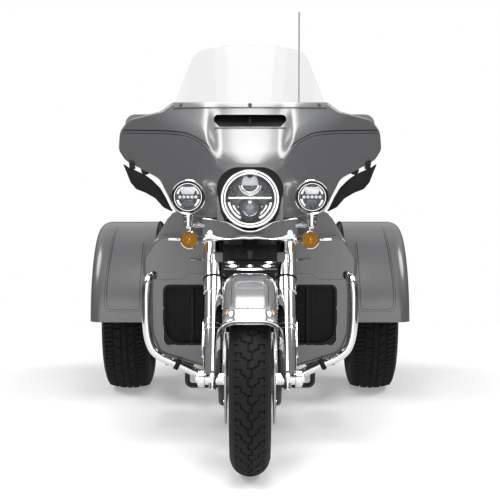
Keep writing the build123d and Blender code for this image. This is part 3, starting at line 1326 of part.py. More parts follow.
def top_case_base():
    """Open tub of the top case on two rack rails."""
    tub = case_block(0, TOP_CASE_LOW, TOP_CASE_SPLIT)
    tub = fillet(tub.faces().sort_by(Axis.Z)[0].edges(), TOP_CASE_EDGE)
    hollow = case_block(TOP_CASE_WALL, TOP_CASE_LOW + TOP_CASE_WALL, TOP_CASE_SPLIT)
    hollow = fillet(hollow.faces().sort_by(Axis.Z)[0].edges(), TOP_CASE_EDGE - TOP_CASE_WALL)
    rail = block(
        RACK_HALF_WIDTH - RACK_RAIL / 2, RACK_HALF_WIDTH + RACK_RAIL / 2, CASE_Y - TOP_CASE_LENGTH / 4,
        CASE_Y + TOP_CASE_LENGTH / 4, BODY_TOP, TOP_CASE_LOW + TOP_CASE_WALL / 2,
    )
    x, z = lid_hinge()
    half, end = HINGE_HALF_LENGTH + SEAT_GAP, HINGE_HALF_LENGTH + HINGE_EAR
    tub = (tub + both_sides(rail)) - hollow
    for sign in (-1, 1):
        near, far = sorted((CASE_Y + half * sign, CASE_Y + end * sign))
        tub += bar((x, near, z), (x, far, z), HINGE_RADIUS)
        tub += block(x, -TOP_CASE_HALF_WIDTH, near, far, z - HINGE_RADIUS, TOP_CASE_SPLIT)
    return tub + bar((x, CASE_Y - end, z), (x, CASE_Y + end, z), HINGE_PIN_RADIUS)


def top_case_lid():
    """Domed lid of the top case, hinged along its right side."""
    low = TOP_CASE_SPLIT + TOP_CASE_SEAM
    lid = case_block(0, low, TOP_CASE_HIGH)
    lid = fillet(lid.faces().sort_by(Axis.Z)[-1].edges(), TOP_CASE_EDGE)
    hollow = case_block(TOP_CASE_WALL, low, TOP_CASE_HIGH - TOP_CASE_WALL)
    lid -= fillet(hollow.faces().sort_by(Axis.Z)[-1].edges(), TOP_CASE_EDGE - TOP_CASE_WALL)
    x, z = lid_hinge()
    near, far = CASE_Y - HINGE_HALF_LENGTH, CASE_Y + HINGE_HALF_LENGTH
    lid += bar((x, near, z), (x, far, z), HINGE_RADIUS)
    lid += block(x, -TOP_CASE_HALF_WIDTH + TOP_CASE_WALL / 2, near, far, low, z + HINGE_RADIUS)
    return lid - bar((x, near, z), (x, far, z), HINGE_PIN_RADIUS + RUNNING_GAP)


def backrest():
    """Passenger's back pad on the front of the top case."""
    back = CASE_Y - TOP_CASE_LENGTH / 2 - SEAT_GAP
    middle = (BACKREST_LOW + TOP_CASE_SPLIT) / 2
    height = TOP_CASE_SPLIT - BACKREST_LOW
    shape = Pos(0, middle) * RectangleRounded(2 * BACKREST_HALF_WIDTH, height, 40)
    pad = front_prism(shape, back - BACKREST_DEPTH, back)
    return fillet(pad.faces().sort_by(Axis.Y)[0].edges(), 24)


def antenna():
    """Whip antenna on the rear deck, left of the middle."""
    base = bar((ANTENNA_X, ANTENNA_Y, BODY_TOP), (ANTENNA_X, ANTENNA_Y, BODY_TOP + ANTENNA_BASE_HEIGHT), ANTENNA_BASE_RADIUS)
    return base + bar((ANTENNA_X, ANTENNA_Y, BODY_TOP), (ANTENNA_X, ANTENNA_Y, ANTENNA_TOP), ANTENNA_RADIUS)


def assembly():
    """Every sub-part by its node name."""
    parts = {
        "frame": frame(),
        "crankcase": crankcase(),
        "cylinders": cylinders(),
        "engine_covers": engine_covers(),
        "air_cleaner": air_cleaner(),
        "exhaust": exhaust(),
        "fuel_tank": fuel_tank(),
        "seat": seat(),
        "side_covers": side_covers(),
        "radiators": radiators(),
        "engine_guard": engine_guard(),
        "footboards": footboards(),
        "rear_axle": rear_axle(),
        "trunk_body": trunk_body(),
        "trunk_door": trunk_door(),
        "rear_valance": rear_valance(),
        "tail_lamps": tail_lamps(),
        "top_case_base": top_case_base(),
        "top_case_lid": top_case_lid(),
        "backrest": backrest(),
        "antenna": antenna(),
        "fork_legs": fork_legs(),
        "fork_covers": fork_covers(),
        "triple_clamps": triple_clamps(),
        "front_fender": front_fender(),
        "brake_calipers": brake_calipers(),
        "outer_fairing": outer_fairing(),
        "inner_fairing": inner_fairing(),
        "windshield": windshield(),
        "headlamp_housing": headlamp_housing(),
        "lamp_bezels": lamp_bezels(),
        "lamp_lenses": lamp_lenses(),
        "turn_signals": turn_signals(),
        "light_bar": light_bar(),
        "fork_skirt": fork_skirt(),
        "handlebar": handlebar(),
        "hand_controls": hand_controls(),
        "mirrors": mirrors(),
        "air_deflectors": air_deflectors(),
        **front_wheel(),
    }
    shield, fender = lower_fairing(), rear_fender()
    for side, sign in SIDES.items():
        parts[f"lower_fairing_{side}"] = shield if sign > 0 else mirror(shield, about=Plane.YZ)
        parts[f"rear_fender_{side}"] = fender if sign > 0 else mirror(fender, about=Plane.YZ)
        parts.update(rear_wheel(side))
    return parts


os.makedirs("parts", exist_ok=True)
for name, shape in assembly().items():
    export_step(Pos(0, -MIDDLE_Y, 0) * shape, f"parts/{name}.step")
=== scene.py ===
from math import acos, atan2, cos, exp, hypot, log, pi, radians, sin, sqrt, tan

import bmesh
import bpy
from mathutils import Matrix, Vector
from mathutils.bvhtree import BVHTree


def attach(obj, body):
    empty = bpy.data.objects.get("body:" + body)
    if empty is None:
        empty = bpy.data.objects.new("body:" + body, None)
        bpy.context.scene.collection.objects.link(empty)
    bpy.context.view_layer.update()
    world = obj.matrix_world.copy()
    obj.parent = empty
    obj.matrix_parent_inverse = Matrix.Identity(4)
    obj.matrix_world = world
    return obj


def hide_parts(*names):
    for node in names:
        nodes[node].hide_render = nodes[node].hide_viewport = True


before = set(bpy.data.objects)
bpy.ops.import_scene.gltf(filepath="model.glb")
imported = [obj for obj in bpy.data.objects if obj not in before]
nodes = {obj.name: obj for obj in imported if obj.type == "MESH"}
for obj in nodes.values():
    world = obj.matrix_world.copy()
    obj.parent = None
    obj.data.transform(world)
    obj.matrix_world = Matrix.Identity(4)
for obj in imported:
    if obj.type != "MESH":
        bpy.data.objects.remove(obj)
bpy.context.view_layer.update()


# Frame and running gear: welded steel tube with a cast rear axle, powder coated in satin black.
# The coat is slightly pebbled, and road dust has dulled it in patches.
class Signal:
    """A node socket that takes part in sums, so that a pattern reads as a formula."""

    def __init__(self, socket):
        self.socket = socket

    def node(self, kind, settings, values, output=0):
        """Adds a node, sets it up, feeds its sockets, and gives one of its outputs."""
        tree = self.socket.id_data
        made = tree.nodes.new(kind)
        for name, setting in settings.items():
            if name == "stops":
                ramp = made.color_ramp.elements
                while len(ramp) < len(setting):
                    ramp.new(1)
                for stop, (place, shade) in zip(ramp, setting):
                    stop.position = place
                    stop.color = (shade, shade, shade, 1)
            else:
                setattr(made, name, setting)
        for name, value in values.items():
            if isinstance(value, Signal):
                tree.links.new(value.socket, made.inputs[name])
            else:
                made.inputs[name].default_value = value
        return Signal(made.outputs[output])

    def math(self, operation, first, second=0.0):
        """One step of arithmetic on values."""
        return self.node("ShaderNodeMath", {"operation": operation}, {0: first, 1: second})

    def __add__(self, other):
        return self.math("ADD", self, other)

    __radd__ = __add__

    def __mul__(self, other):
        return self.math("MULTIPLY", self, other)

    __rmul__ = __mul__

    def tint(self, low, high):
        """Colour from low to high as this value goes from 0 to 1."""
        return self.node("ShaderNodeMix", {"data_type": "RGBA"}, {0: self, 6: (*low, 1), 7: (*high, 1)}, 2)

    def grain(self, scale, detail=2.0):
        """Fine noise at a scale, read at these coordinates."""
        return self.node("ShaderNodeTexNoise", {}, {"Vector": self, "Scale": scale, "Detail": detail})

    def bump(self, height, strength, distance):
        """Surface normal raised by a height pattern."""
        return self.node(
            "ShaderNodeBump", {}, {"Height": height, "Strength": strength, "Distance": distance}
        )


def start_finish(name):
    """A new finish: its material, a function that feeds its shader, and its place on the object."""
    material = bpy.data.materials.new(name)
    material.use_nodes = True
    tree = material.node_tree
    shader = tree.nodes["Principled BSDF"]

    def feed(values):
        for socket, value in values.items():
            if isinstance(value, Signal):
                tree.links.new(value.socket, shader.inputs[socket])
            else:
                shader.inputs[socket].default_value = value

    return material, feed, Signal(tree.nodes.new("ShaderNodeTexCoord").outputs["Object"])


def coat(material, *names):
    """Gives CAD nodes their finish."""
    for name in names:
        nodes[name].data.materials.clear()
        nodes[name].data.materials.append(material)


frame_black, feed, place = start_finish("frame_black")
dust = place.grain(9)
feed({
    "Base Color": dust.tint((0.016, 0.016, 0.018), (0.028, 0.027, 0.026)),
    "Roughness": dust * 0.18 + 0.32,
    "Normal": place.bump(place.grain(420), 0.12, 0.0004),
})
coat(frame_black, "frame", "rear_axle", "triple_clamps")

# Engine: sand-cast cases and finned barrels in wrinkle black, with plated covers bolted on.
# Plated pushrod tubes run up the right side, and each cover has its row of small bolts.
cast_black, feed, place = start_finish("cast_black")
skin = place.grain(260, 4)
feed({
    "Base Color": skin.tint((0.02, 0.02, 0.021), (0.045, 0.045, 0.047)),
    "Roughness": skin * 0.2 + 0.45,
    "Metallic": 0.35,
    "Normal": place.bump(skin, 0.35, 0.0006),
})
coat(cast_black, "crankcase", "cylinders")

chrome, feed, place = start_finish("chrome")
haze = place.grain(14)
feed({
    "Base Color": haze.tint((0.8, 0.805, 0.81), (0.88, 0.885, 0.89)),
    "Metallic": 1.0,
    "Roughness": haze * 0.05 + 0.04,
})
coat(chrome, "engine_covers", "air_cleaner")
SHARP_EDGE = 35


def plain_mesh(name, shape):
    """A mesh from points in millimetres and faces, with every face turned outwards."""
    points, faces = shape
    mesh = bpy.data.meshes.new(name)
    mesh.from_pydata([(x / 1000, y / 1000, z / 1000) for x, y, z in points], [], faces)
    form = bmesh.new()
    form.from_mesh(mesh)
    bmesh.ops.remove_doubles(form, verts=form.verts, dist=1e-6)
    bmesh.ops.recalc_face_normals(form, faces=form.faces)
    form.to_mesh(mesh)
    form.free()
    return mesh


def placed(name, data):
    """A new object in the scene."""
    thing = bpy.data.objects.new(name, data)
    bpy.context.scene.collection.objects.link(thing)
    return thing


def smoothed(mesh, sharp=SHARP_EDGE):
    """Shades a mesh smooth, apart from edges sharper than an angle in degrees."""
    mesh.shade_smooth()
    mesh.set_sharp_from_angle(angle=radians(sharp))


def build(name, shape, material, body, sharp=SHARP_EDGE):
    """A piece from points in millimetres and faces, riding on a body."""
    mesh = plain_mesh(name, shape)
    smoothed(mesh, sharp)
    mesh.materials.append(material)
    piece = placed(name, mesh)
    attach(piece, body)
    return piece


def joined(*shapes):
    """Several shapes as one."""
    points, faces = [], []
    for more, sides in shapes:
        faces += [tuple(i + len(points) for i in side) for side in sides]
        points += more
    return points, faces


def pair(shape):
    """A left-hand shape with its mirror image."""
    points, faces = shape
    return joined(shape, ([(-x, y, z) for x, y, z in points], [tuple(reversed(side)) for side in faces]))


def spokes(side, up, count, lead=0.0):
    """Unit spokes evenly round a circle."""
    turns = [lead + 2 * pi * index / count for index in range(count)]
    return [side * cos(turn) + up * sin(turn) for turn in turns]


def ring_faces(rows, steps):
    """Faces over closed rings of points, with both ends capped."""
    faces = []
    for row in range(rows - 1):
        for index in range(steps):
            a, b = row * steps + index, row * steps + (index + 1) % steps
            faces.append((a, b, b + steps, a + steps))
    last = (rows - 1) * steps
    return faces + [tuple(reversed(range(steps))), tuple(range(last, last + steps))]


def turned(centre, axis, profile, steps=48):
    """A turned shape: rows of distance along the axis and radius, from one end to the other."""
    axis = Vector(axis).normalized()
    side = axis.orthogonal().normalized()
    wheel = spokes(side, axis.cross(side), steps)
    points = []
    for along, radius in profile:
        points += [tuple(Vector(centre) + axis * along + spoke * radius) for spoke in wheel]
    return points, ring_faces(len(profile), steps)


def rod(route, radius, sides=12):
    """A round rod along points; radius is one size, or one for each point."""
    spots = [Vector(spot) for spot in route]
    sizes = radius if isinstance(radius, list) else [radius] * len(spots)
    points = []
    side = None
    for index, spot in enumerate(spots):
        ahead = spots[min(index + 1, len(spots) - 1)] - spots[max(index - 1, 0)]
        ahead.normalize()
        side = ahead.orthogonal() if side is None else side - ahead * side.dot(ahead)
        side.normalize()
        points += [tuple(spot + spoke * sizes[index]) for spoke in spokes(side, ahead.cross(side), sides)]
    return points, ring_faces(len(spots), sides)


def node_tree(name, inputs):
    """An empty geometry tree with named inputs: the tree, its input sockets and a way to finish it."""
    tree = bpy.data.node_groups.new(name, "GeometryNodeTree")
    tree.interface.new_socket("Geometry", in_out="INPUT", socket_type="NodeSocketGeometry")
    for label, kind in inputs.items():
        tree.interface.new_socket(label, in_out="INPUT", socket_type=kind)
    tree.interface.new_socket("Geometry", in_out="OUTPUT", socket_type="NodeSocketGeometry")
    entry = tree.nodes.new("NodeGroupInput")
    sockets = {socket.name: Signal(socket) for socket in entry.outputs if socket.name}

    def close(shape):
        whole = shape.node("GeometryNodeRealizeInstances", {}, {"Geometry": shape})
        dressed = whole.node(
            "GeometryNodeSetMaterial", {}, {"Geometry": whole, "Material": sockets["Material"]}
        )
        tree.links.new(dressed.socket, tree.nodes.new("NodeGroupOutput").inputs[0])
        return tree

    return sockets, close


def settle(piece):
    """Keeps what a piece's modifiers make as its plain mesh."""
    graph = bpy.context.evaluated_depsgraph_get()
    made = bpy.data.meshes.new_from_object(piece.evaluated_get(graph))
    piece.modifiers.clear()
    piece.data = made


def grow(piece, tree, values, body):
    """Runs a geometry tree on a piece, keeps the result as a plain mesh, and lets it ride."""
    modifier = piece.modifiers.new(tree.name, "NODES")
    modifier.node_group = tree
    for item in tree.interface.items_tree:
        if item.name in values:
            modifier[item.identifier] = values[item.name]
    settle(piece)
    smoothed(piece.data)
    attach(piece, body)
    return piece


def dotted(name, spots, *labels):
    """A piece of bare points: rows of a point in millimetres and a way for each label."""
    mesh = bpy.data.meshes.new(name)
    mesh.from_pydata([tuple(v / 1000 for v in row[0]) for row in spots], [], [])
    for column, label in enumerate(labels, 1):
        ways = mesh.attributes.new(label, "FLOAT_VECTOR", "POINT")
        for item, row in zip(ways.data, spots):
            item.vector = Vector(row[column]).normalized()
    return placed(name, mesh)


sockets, close = node_tree("bolt_heads", {
    "Radius": "NodeSocketFloat",
    "Height": "NodeSocketFloat",
    "Sides": "NodeSocketInt",
    "Material": "NodeSocketMaterial",
})
points = sockets["Geometry"]
head = points.node("GeometryNodeMeshCylinder", {}, {
    "Vertices": sockets["Sides"], "Radius": sockets["Radius"], "Depth": sockets["Height"] * 2,
})
washer = points.node("GeometryNodeMeshCylinder", {}, {
    "Vertices": 16, "Radius": sockets["Radius"] * 1.45, "Depth": sockets["Height"] * 0.8,
})
bolt = points.node("GeometryNodeJoinGeometry", {}, {"Geometry": head})
bolt.socket.id_data.links.new(washer.socket, bolt.socket.node.inputs[0])
outwards = points.node("GeometryNodeInputNamedAttribute", {"data_type": "FLOAT_VECTOR"}, {"Name": "outwards"})
turn = points.node("FunctionNodeAlignRotationToVector", {"axis": "Z"}, {"Vector": outwards})
BOLT_HEADS = close(points.node(
    "GeometryNodeInstanceOnPoints", {}, {"Points": points, "Instance": bolt, "Rotation": turn}
))


def bolts(name, spots, radius, height, material, body, sides=6):
    """Bolt heads with washers: rows of a point in millimetres and the way that it faces."""
    sizes = {"Radius": radius / 1000, "Height": height / 1000, "Sides": sides, "Material": material}
    return grow(dotted(name, spots, "outwards"), BOLT_HEADS, sizes, body)


def ring_of(centre, axis, radius, count, lead=0.0):
    """Points evenly round a circle, each with the axis as its way."""
    axis = Vector(axis).normalized()
    side = axis.orthogonal().normalized()
    wheel = spokes(side, axis.cross(side), count, lead)
    return [(tuple(Vector(centre) + spoke * radius), tuple(axis)) for spoke in wheel]


CRANK = (-250, 310)
V_LEAN = radians(22.5)
TO_LEFT, TO_RIGHT = (1, 0, 0), (-1, 0, 0)
DERBY, HATCH = (188, -20, 300), (188, -262, 300)
CAM, AIR = (-154, *CRANK), (-192, CRANK[0], 540)


def beside(spot, step):
    """A point moved sideways."""
    return (spot[0] + step, *spot[1:])


derby = turned(DERBY, TO_LEFT, [(-1, 74), (2.5, 74), (5, 71), (6, 58), (4.5, 54), (4.5, 20), (5, 0.5)])
hatch = turned(HATCH, TO_LEFT, [(-1, 44), (2.5, 44), (4.5, 41), (4.5, 0.5)])
cam_plate = turned(CAM, TO_RIGHT, [(-1, 70), (3, 70), (5, 67), (5, 52), (3.5, 50), (3.5, 0.5)])
air_ring = turned(AIR, TO_RIGHT, [(-1, 74), (2, 74), (4, 70), (4, 60), (1.5, 57), (1.5, 0.5)])
BARREL_TOP, ROD_TOP = 354, 262
tubes = []
for lean in (-V_LEAN, V_LEAN):
    for step in (-20, 20):
        foot = (-118, CRANK[0] + step + 34 * lean, 404)
        top = (-78, CRANK[0] + ROD_TOP * sin(lean) + step, CRANK[1] + ROD_TOP * cos(lean) - 6)
        sleeve = [tuple(Vector(foot).lerp(Vector(top), share)) for share in (0.16, 0.17)]
        tubes.append(rod([foot, *sleeve, top], [13, 13, 9, 9]))
build("engine_trim", joined(derby, hatch, cam_plate, air_ring, *tubes), chrome, "chassis")
spots = ring_of(beside(DERBY, 4), TO_LEFT, 66, 5) + ring_of(beside(HATCH, 4), TO_LEFT, 37, 4)
spots += ring_of(beside(CAM, -4.5), TO_RIGHT, 60, 5) + ring_of(beside(CAM, 6), TO_RIGHT, 92, 8, 0.3)
spots += ring_of(beside(AIR, -3.5), TO_RIGHT, 65, 3, 0.5)
for lean in (-V_LEAN, V_LEAN):
    up = Vector((0, sin(lean), cos(lean)))
    along = Vector((0, cos(lean), -sin(lean)))
    middle = Vector((0, *CRANK)) + up * BARREL_TOP
    for x in (-46, 46):
        for step in (-58, 0, 58):
            spots.append((tuple(middle + along * step + Vector((x, 0, 0))), tuple(up)))
bolts("engine_bolts", spots, 5, 3, chrome, "chassis")

# Exhaust: plated header and two long mufflers, each with clamp bands and a turned-in black tip.
# The pipes have yellowed a little near the engine, as plated pipes do.
hot_chrome, feed, place = start_finish("hot_chrome")
haze = place.grain(14)
heat = place.node("ShaderNodeSeparateXYZ", {}, {"Vector": place}, 1)
heat = heat.node("ShaderNodeMapRange", {}, {"Value": heat, "From Min": -0.15, "From Max": -0.45}, 0)
feed({
    "Base Color": heat.tint((0.84, 0.845, 0.85), (0.74, 0.66, 0.5)),
    "Metallic": 1.0,
    "Roughness": haze * 0.06 + 0.06,
})
coat(hot_chrome, "exhaust")
MUFFLER_X, MUFFLER_Z = 330, 215
TO_BACK = (0, 1, 0)
BAND = [(-9, 45.6), (-8, 48.5), (8, 48.5), (9, 45.6)]
bands = [turned((MUFFLER_X, y, MUFFLER_Z), TO_BACK, BAND) for y in (372, 640, 1010, 1182)]
build("muffler_bands", pair(joined(*bands)), chrome, "chassis")
# This near-black finish serves the mufflers' sooted tips, and also the dark dots of painted shade that stand for
# drilled and pierced holes.
soot_and_hole_shade, feed, place = start_finish("soot_and_hole_shade")
feed({
    "Base Color": place.grain(40).tint((0.01, 0.01, 0.01), (0.03, 0.028, 0.026)),
    "Roughness": place.grain(60) * 0.2 + 0.7,
})
plug = turned((MUFFLER_X, 1166, MUFFLER_Z), TO_BACK, [(-1, 40.5), (1, 40.5), (1.5, 30), (-6, 27), (-7, 0.5)])
build("muffler_baffles", pair(plug), soot_and_hole_shade, "chassis")

# Tyres: black rubber over steel belts, with the tread moulded in.
# The front carries a zigzag middle groove with slanted side grooves, the rears an all-season block pattern.
rubber, feed, place = start_finish("rubber")
bloom = place.grain(35, 5)
feed({
    "Base Color": bloom.tint((0.007, 0.007, 0.007), (0.014, 0.014, 0.0145)),
    "Roughness": bloom * 0.2 + 0.62,
    "Specular IOR Level": 0.22,
    "Normal": place.bump(place.grain(500), 0.2, 0.0004),
})
FRONT_AXLE = (0, -1015, 320)
REAR_AXLE = (553, 655, 324)


def arc_through(start, middle, end, steps):
    """Points on the arc through three points, without the first."""
    (ax, ay), (bx, by), (cx, cy) = start, middle, end
    twice = 2 * (ax * (by - cy) + bx * (cy - ay) + cx * (ay - by))
    a, b, c = ax * ax + ay * ay, bx * bx + by * by, cx * cx + cy * cy
    x = (a * (by - cy) + b * (cy - ay) + c * (ay - by)) / twice
    y = (a * (cx - bx) + b * (ax - cx) + c * (bx - ax)) / twice
    radius = hypot(ax - x, ay - y)
    first, mid, last = (atan2(v - y, u - x) for u, v in (start, middle, end))
    sweep = (last - first) % (2 * pi)
    if (mid - first) % (2 * pi) > sweep:
        sweep -= 2 * pi
    rows = []
    for index in range(1, steps + 1):
        angle = first + sweep * index / steps
        rows.append((x + radius * cos(angle), y + radius * sin(angle)))
    return rows


GROOVE_WALL = 1.2
FRONT_PITCH = 54
ZIGZAG = 5.5
CROSS_CUTS = ((14, 27, 34), (27, 44, 19), (38, 46, 46))
HOOK_CUTS = ((27, 19, 34), (44, 19, 31), (14, 34, 42))
REAR_PITCH = 44
REAR_GROOVES = ((14, 4.2), (49, 4.4))
REAR_MIDDLE, REAR_SHOULDER = 17, 52


def near(value, target, half_width):
    """1 on a groove's floor, falling to 0 over its walls."""
    return max(0.0, min(1.0, (half_width - abs(value - target)) / GROOVE_WALL + 0.5))


def front_grooves(across, round_share):
    """Depth share of the front tread at a place across and a share of one pitch round."""
    side = abs(across)
    sweep = abs(2 * round_share - 1)
    depth = near(across, ZIGZAG * max(-1, min(1, (sweep - 0.5) * 9)), 1.9)
    if side < 7:
        depth = max(depth, near(sweep * FRONT_PITCH / 2, FRONT_PITCH / 4, 1.6))
    share = (round_share + (0.5 if across < 0 else 0) + 0.0045 * (side - 16)) % 1
    run = share * FRONT_PITCH
    for low, high, level in CROSS_CUTS:
        if low - 1.6 < side < high + 1.6:
            depth = max(depth, near(run, level, 1.8))
    for level, start, end in HOOK_CUTS:
        if start < run < end:
            depth = max(depth, near(side, level, 1.7))
    return depth


def rear_grooves(across, round_share):
    """Depth share of the rear tread at a place across and a share of one pitch round."""
    side = abs(across)
    depth = max(near(side, level, half) for level, half in REAR_GROOVES)
    share = (round_share + 0.006 * across) % 1
    half_run = (share * 2 % 1) * REAR_PITCH / 2
    if side > REAR_SHOULDER:
        return max(depth, near(half_run, REAR_PITCH / 4, 3.4))
    if side > REAR_MIDDLE:
        slant = near(share * REAR_PITCH + 0.45 * (side - 32), REAR_PITCH / 2, 2.8)
        return max(depth, slant, near((share * 3 % 1) * 14.7, 7, 0.9) * 0.6)
    return max(depth, near(half_run + 0.4 * across, REAR_PITCH / 4, 1.1) * 0.7)


def tyre(centre, radius, width, tread, drop, rim_radius, rim_width, pitches, steps, groove_depth, pattern):
    """A tyre on its axle, with its tread cut in."""
    bead, edge = rim_width / 2, radius - drop
    middle = (rim_radius + edge) / 2
    wall = [(bead, rim_radius)] + arc_through((bead, rim_radius), (width / 2, middle), (tread / 2, edge), 12)
    for step, lift in ((4, -1.0), (8, 0.9)):
        wall[step] = (wall[step][0] + lift, wall[step][1])
    crown = arc_through((tread / 2, edge), (0, radius), (-tread / 2, edge), 56)
    rows = wall + crown + [(-u, v) for u, v in reversed(wall[:-1])]
    around = pitches * steps
    points, faces = [], []
    for index in range(around):
        angle = 2 * pi * index / around
        share = (index % steps) / steps
        for place_x, place_r in rows:
            cut = 0.0
            if abs(place_x) < tread / 2 - 0.5 and place_r >= edge - 0.1:
                cut = groove_depth * pattern(place_x, share)
            reach = place_r - cut
            points.append((centre[0] + place_x, centre[1] - reach * sin(angle), centre[2] + reach * cos(angle)))
    count = len(rows)
    for index in range(around):
        here, there = index * count, (index + 1) % around * count
        for row in range(count):
            after = (row + 1) % count
            faces.append((here + row, there + row, there + after, here + after))
    return points, faces


SIDES = (("left", 1), ("right", -1))
TREAD_EDGE = 40
shape = tyre(FRONT_AXLE, radius=320, width=132, tread=108, drop=27, rim_radius=204.3, rim_width=92,
             pitches=37, steps=26, groove_depth=5.5, pattern=front_grooves)
piece = build("front_tread", shape, rubber, "front_wheel", TREAD_EDGE)
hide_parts("front_tyre")
for side, sign in SIDES:
    centre = (REAR_AXLE[0] * sign, *REAR_AXLE[1:])
    shape = tyre(centre, radius=324, width=208, tread=176, drop=14, rim_radius=190.3, rim_width=160,
                 pitches=46, steps=12, groove_depth=7, pattern=rear_grooves)
    piece = build(f"rear_tread_{side}", shape, rubber, f"rear_wheel_{side}", TREAD_EDGE)
    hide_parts(f"rear_tyre_{side}")

# Wheels: cast aluminium, painted silver-grey and left bright on the machined rim edges.
# Each rear wheel has a plated lip, a hub cap inside a ring of lug nuts, and a valve stem.
silver_cast, feed, place = start_finish("silver_cast")
skin = place.grain(300, 4)
feed({
    "Base Color": skin.tint((0.36, 0.365, 0.37), (0.5, 0.505, 0.51)),
    "Metallic": 1.0,
    "Roughness": skin * 0.15 + 0.28,
    "Normal": place.bump(skin, 0.1, 0.0004),
})
coat(silver_cast, "front_rim", "rear_rim_left", "rear_rim_right")
for side, sign in SIDES:
    face = (REAR_AXLE[0] + 80) * sign
    hub = (face, *REAR_AXLE[1:])
    way = (sign, 0, 0)
    cap = turned(hub, way, [(-2, 34), (4, 34), (9, 31), (11, 24), (9, 20), (9.5, 0.5)])
    lip = turned(hub, way, [(-6, 176.4), (0.8, 177), (0.8, 189.4), (-6, 190)], 72)
    foot, tip = ((face + out * sign, REAR_AXLE[1] + off, REAR_AXLE[2] + off) for out, off in ((-20, 120), (2, 113)))
    build(f"hub_cap_{side}", joined(cap, rod([foot, tip], 4)), chrome, f"rear_wheel_{side}")
    build(f"rim_lip_{side}", (lip[0], lip[1][:-2]), chrome, f"rear_wheel_{side}")
    bolts(f"lug_nuts_{side}", ring_of(hub, way, 54, 5), 9.5, 9, chrome, f"rear_wheel_{side}")

# Front brakes: ground stainless discs on black carriers, and silver calipers behind the fork legs.
# Each disc is turned, so its grain runs in rings round the axle; its slanted rows of drilled holes are flat dark
# dots, painted shade in the holes.
turned_steel, feed, place = start_finish("turned_steel")
centred = place.node("ShaderNodeMapping", {}, {"Vector": place, "Location": tuple(-v / 1000 for v in FRONT_AXLE)})
ring = centred.node("ShaderNodeTexGradient", {"gradient_type": "SPHERICAL"}, {"Vector": centred}, 1)
lines = ring.math("SINE", ring * 900)
feed({
    "Base Color": (lines * 0.5 + 0.5).tint((0.42, 0.42, 0.43), (0.55, 0.55, 0.56)),
    "Metallic": 1.0,
    "Roughness": place.grain(50) * 0.1 + 0.25,
})
coat(turned_steel, "brake_rotors")
coat(silver_cast, "brake_calipers")
ROTOR_FACE_X = 82.5
DISC_HOLES = (114, 124, 134, 143)
CARRIER = [(-0.5, 104), (1.6, 104), (2.4, 100), (2.4, 27), (-0.5, 26)]
points, faces = turned((ROTOR_FACE_X, *FRONT_AXLE[1:]), TO_LEFT, CARRIER, 60)
build("disc_carriers", pair((points, faces[:-2])), cast_black, "front_wheel")
holes, buttons = [], []
for sign in (-1, 1):
    way = (sign, 0, 0)
    face = (ROTOR_FACE_X * sign, *FRONT_AXLE[1:])
    buttons += ring_of(((ROTOR_FACE_X + 2) * sign, *FRONT_AXLE[1:]), way, 92, 8)
    for row, radius in enumerate(DISC_HOLES):
        holes += ring_of(face, way, radius, 16, row * 0.09)
bolts("disc_buttons", buttons, 6, 1.6, chrome, "front_wheel", 12)
# Flat dark dots stand for the drilled holes: painted shade where the holes are.
bolts("disc_holes", holes, 2.2, 0.25, soot_and_hole_shade, "front_wheel", 10)

# Fork: plated sleeves over the upper tubes and polished sliders below, clamped on the front axle.
# A black dust seal shows between them; each slider has a collar, an axle clamp and an amber side reflector.
# Between the legs a rubber cover with plated strips is bolted over the lower clamp.
coat(chrome, "fork_covers")
FORK_X = 124
FORK_LEAN = radians(32)
FORK_WAY = (0, sin(FORK_LEAN), cos(FORK_LEAN))


def on_fork(along, out=0.0, ahead=0.0):
    """A point on the left leg's axis, moved out sideways and ahead square to the leg."""
    return (FORK_X + out, FRONT_AXLE[1] + along * sin(FORK_LEAN) - ahead * cos(FORK_LEAN),
            FRONT_AXLE[2] + along * cos(FORK_LEAN) + ahead * sin(FORK_LEAN))


def turned_ring(centre, axis, profile, steps=64):
    """A turned ring: the profile closes on itself."""
    points, faces = turned(centre, axis, profile + profile[:1], steps)
    return points, faces[:-2]


TUBE_PROFILE = [(-42, 7), (-40.5, 11), (-38, 12), (-22, 12.6), (-18, 15), (-12, 21), (-4, 27), (6, 30.8), (16, 32),
                (315, 32), (315.2, 24.5), (649, 24.5), (650, 23)]
AXLE_PROFILE = [(0, 21), (44, 21), (47, 19.5), (47, 6)]
leg = joined(turned(on_fork(0), FORK_WAY, TUBE_PROFILE), turned((FORK_X, *FRONT_AXLE[1:]), TO_LEFT, AXLE_PROFILE),
             turned((82.8, *FRONT_AXLE[1:]), TO_LEFT, [(0, 21), (41.2, 21)]))
axle = turned((-FORK_X, *FRONT_AXLE[1:]), TO_LEFT, [(0, 12.5), (2 * FORK_X, 12.5)])
piece = build("fork_sliders", joined(pair(leg), axle), chrome, "steering")
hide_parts("fork_legs")
collars = [
    turned(on_fork(505), FORK_WAY, [(-6, 36), (-4, 38.5), (1, 38.5), (4, 36), (4, 26)]),
    turned(on_fork(200), FORK_WAY, [(-12, 32), (-11, 35), (8, 35), (11, 32)]),
    turned(on_fork(176), FORK_WAY, [(-5, 32), (-4, 34), (4, 34), (5, 32)]),
    rod([on_fork(204, -22, 6), on_fork(204, -31, 6), on_fork(204, -33, 6)], [10, 10, 8]),
    rod([on_fork(207, 31, 2), on_fork(203, 33, 2), on_fork(78, 34, 2), on_fork(74, 32, 2)], [2, 4.5, 4.5, 2]),
]
build("fork_collars", pair(joined(*collars)), chrome, "steering")
clamp = turned((FORK_X + 26, *FRONT_AXLE[1:]), TO_LEFT, [(0, 29), (4, 30), (20, 30), (22, 27), (22, 0.5)])
build("axle_caps", pair(clamp), chrome, "steering")
nuts = [((171 * sign, *FRONT_AXLE[1:]), (sign, 0, 0)) for sign in (-1, 1)]
bolts("axle_nuts", nuts, 15, 9, chrome, "steering")
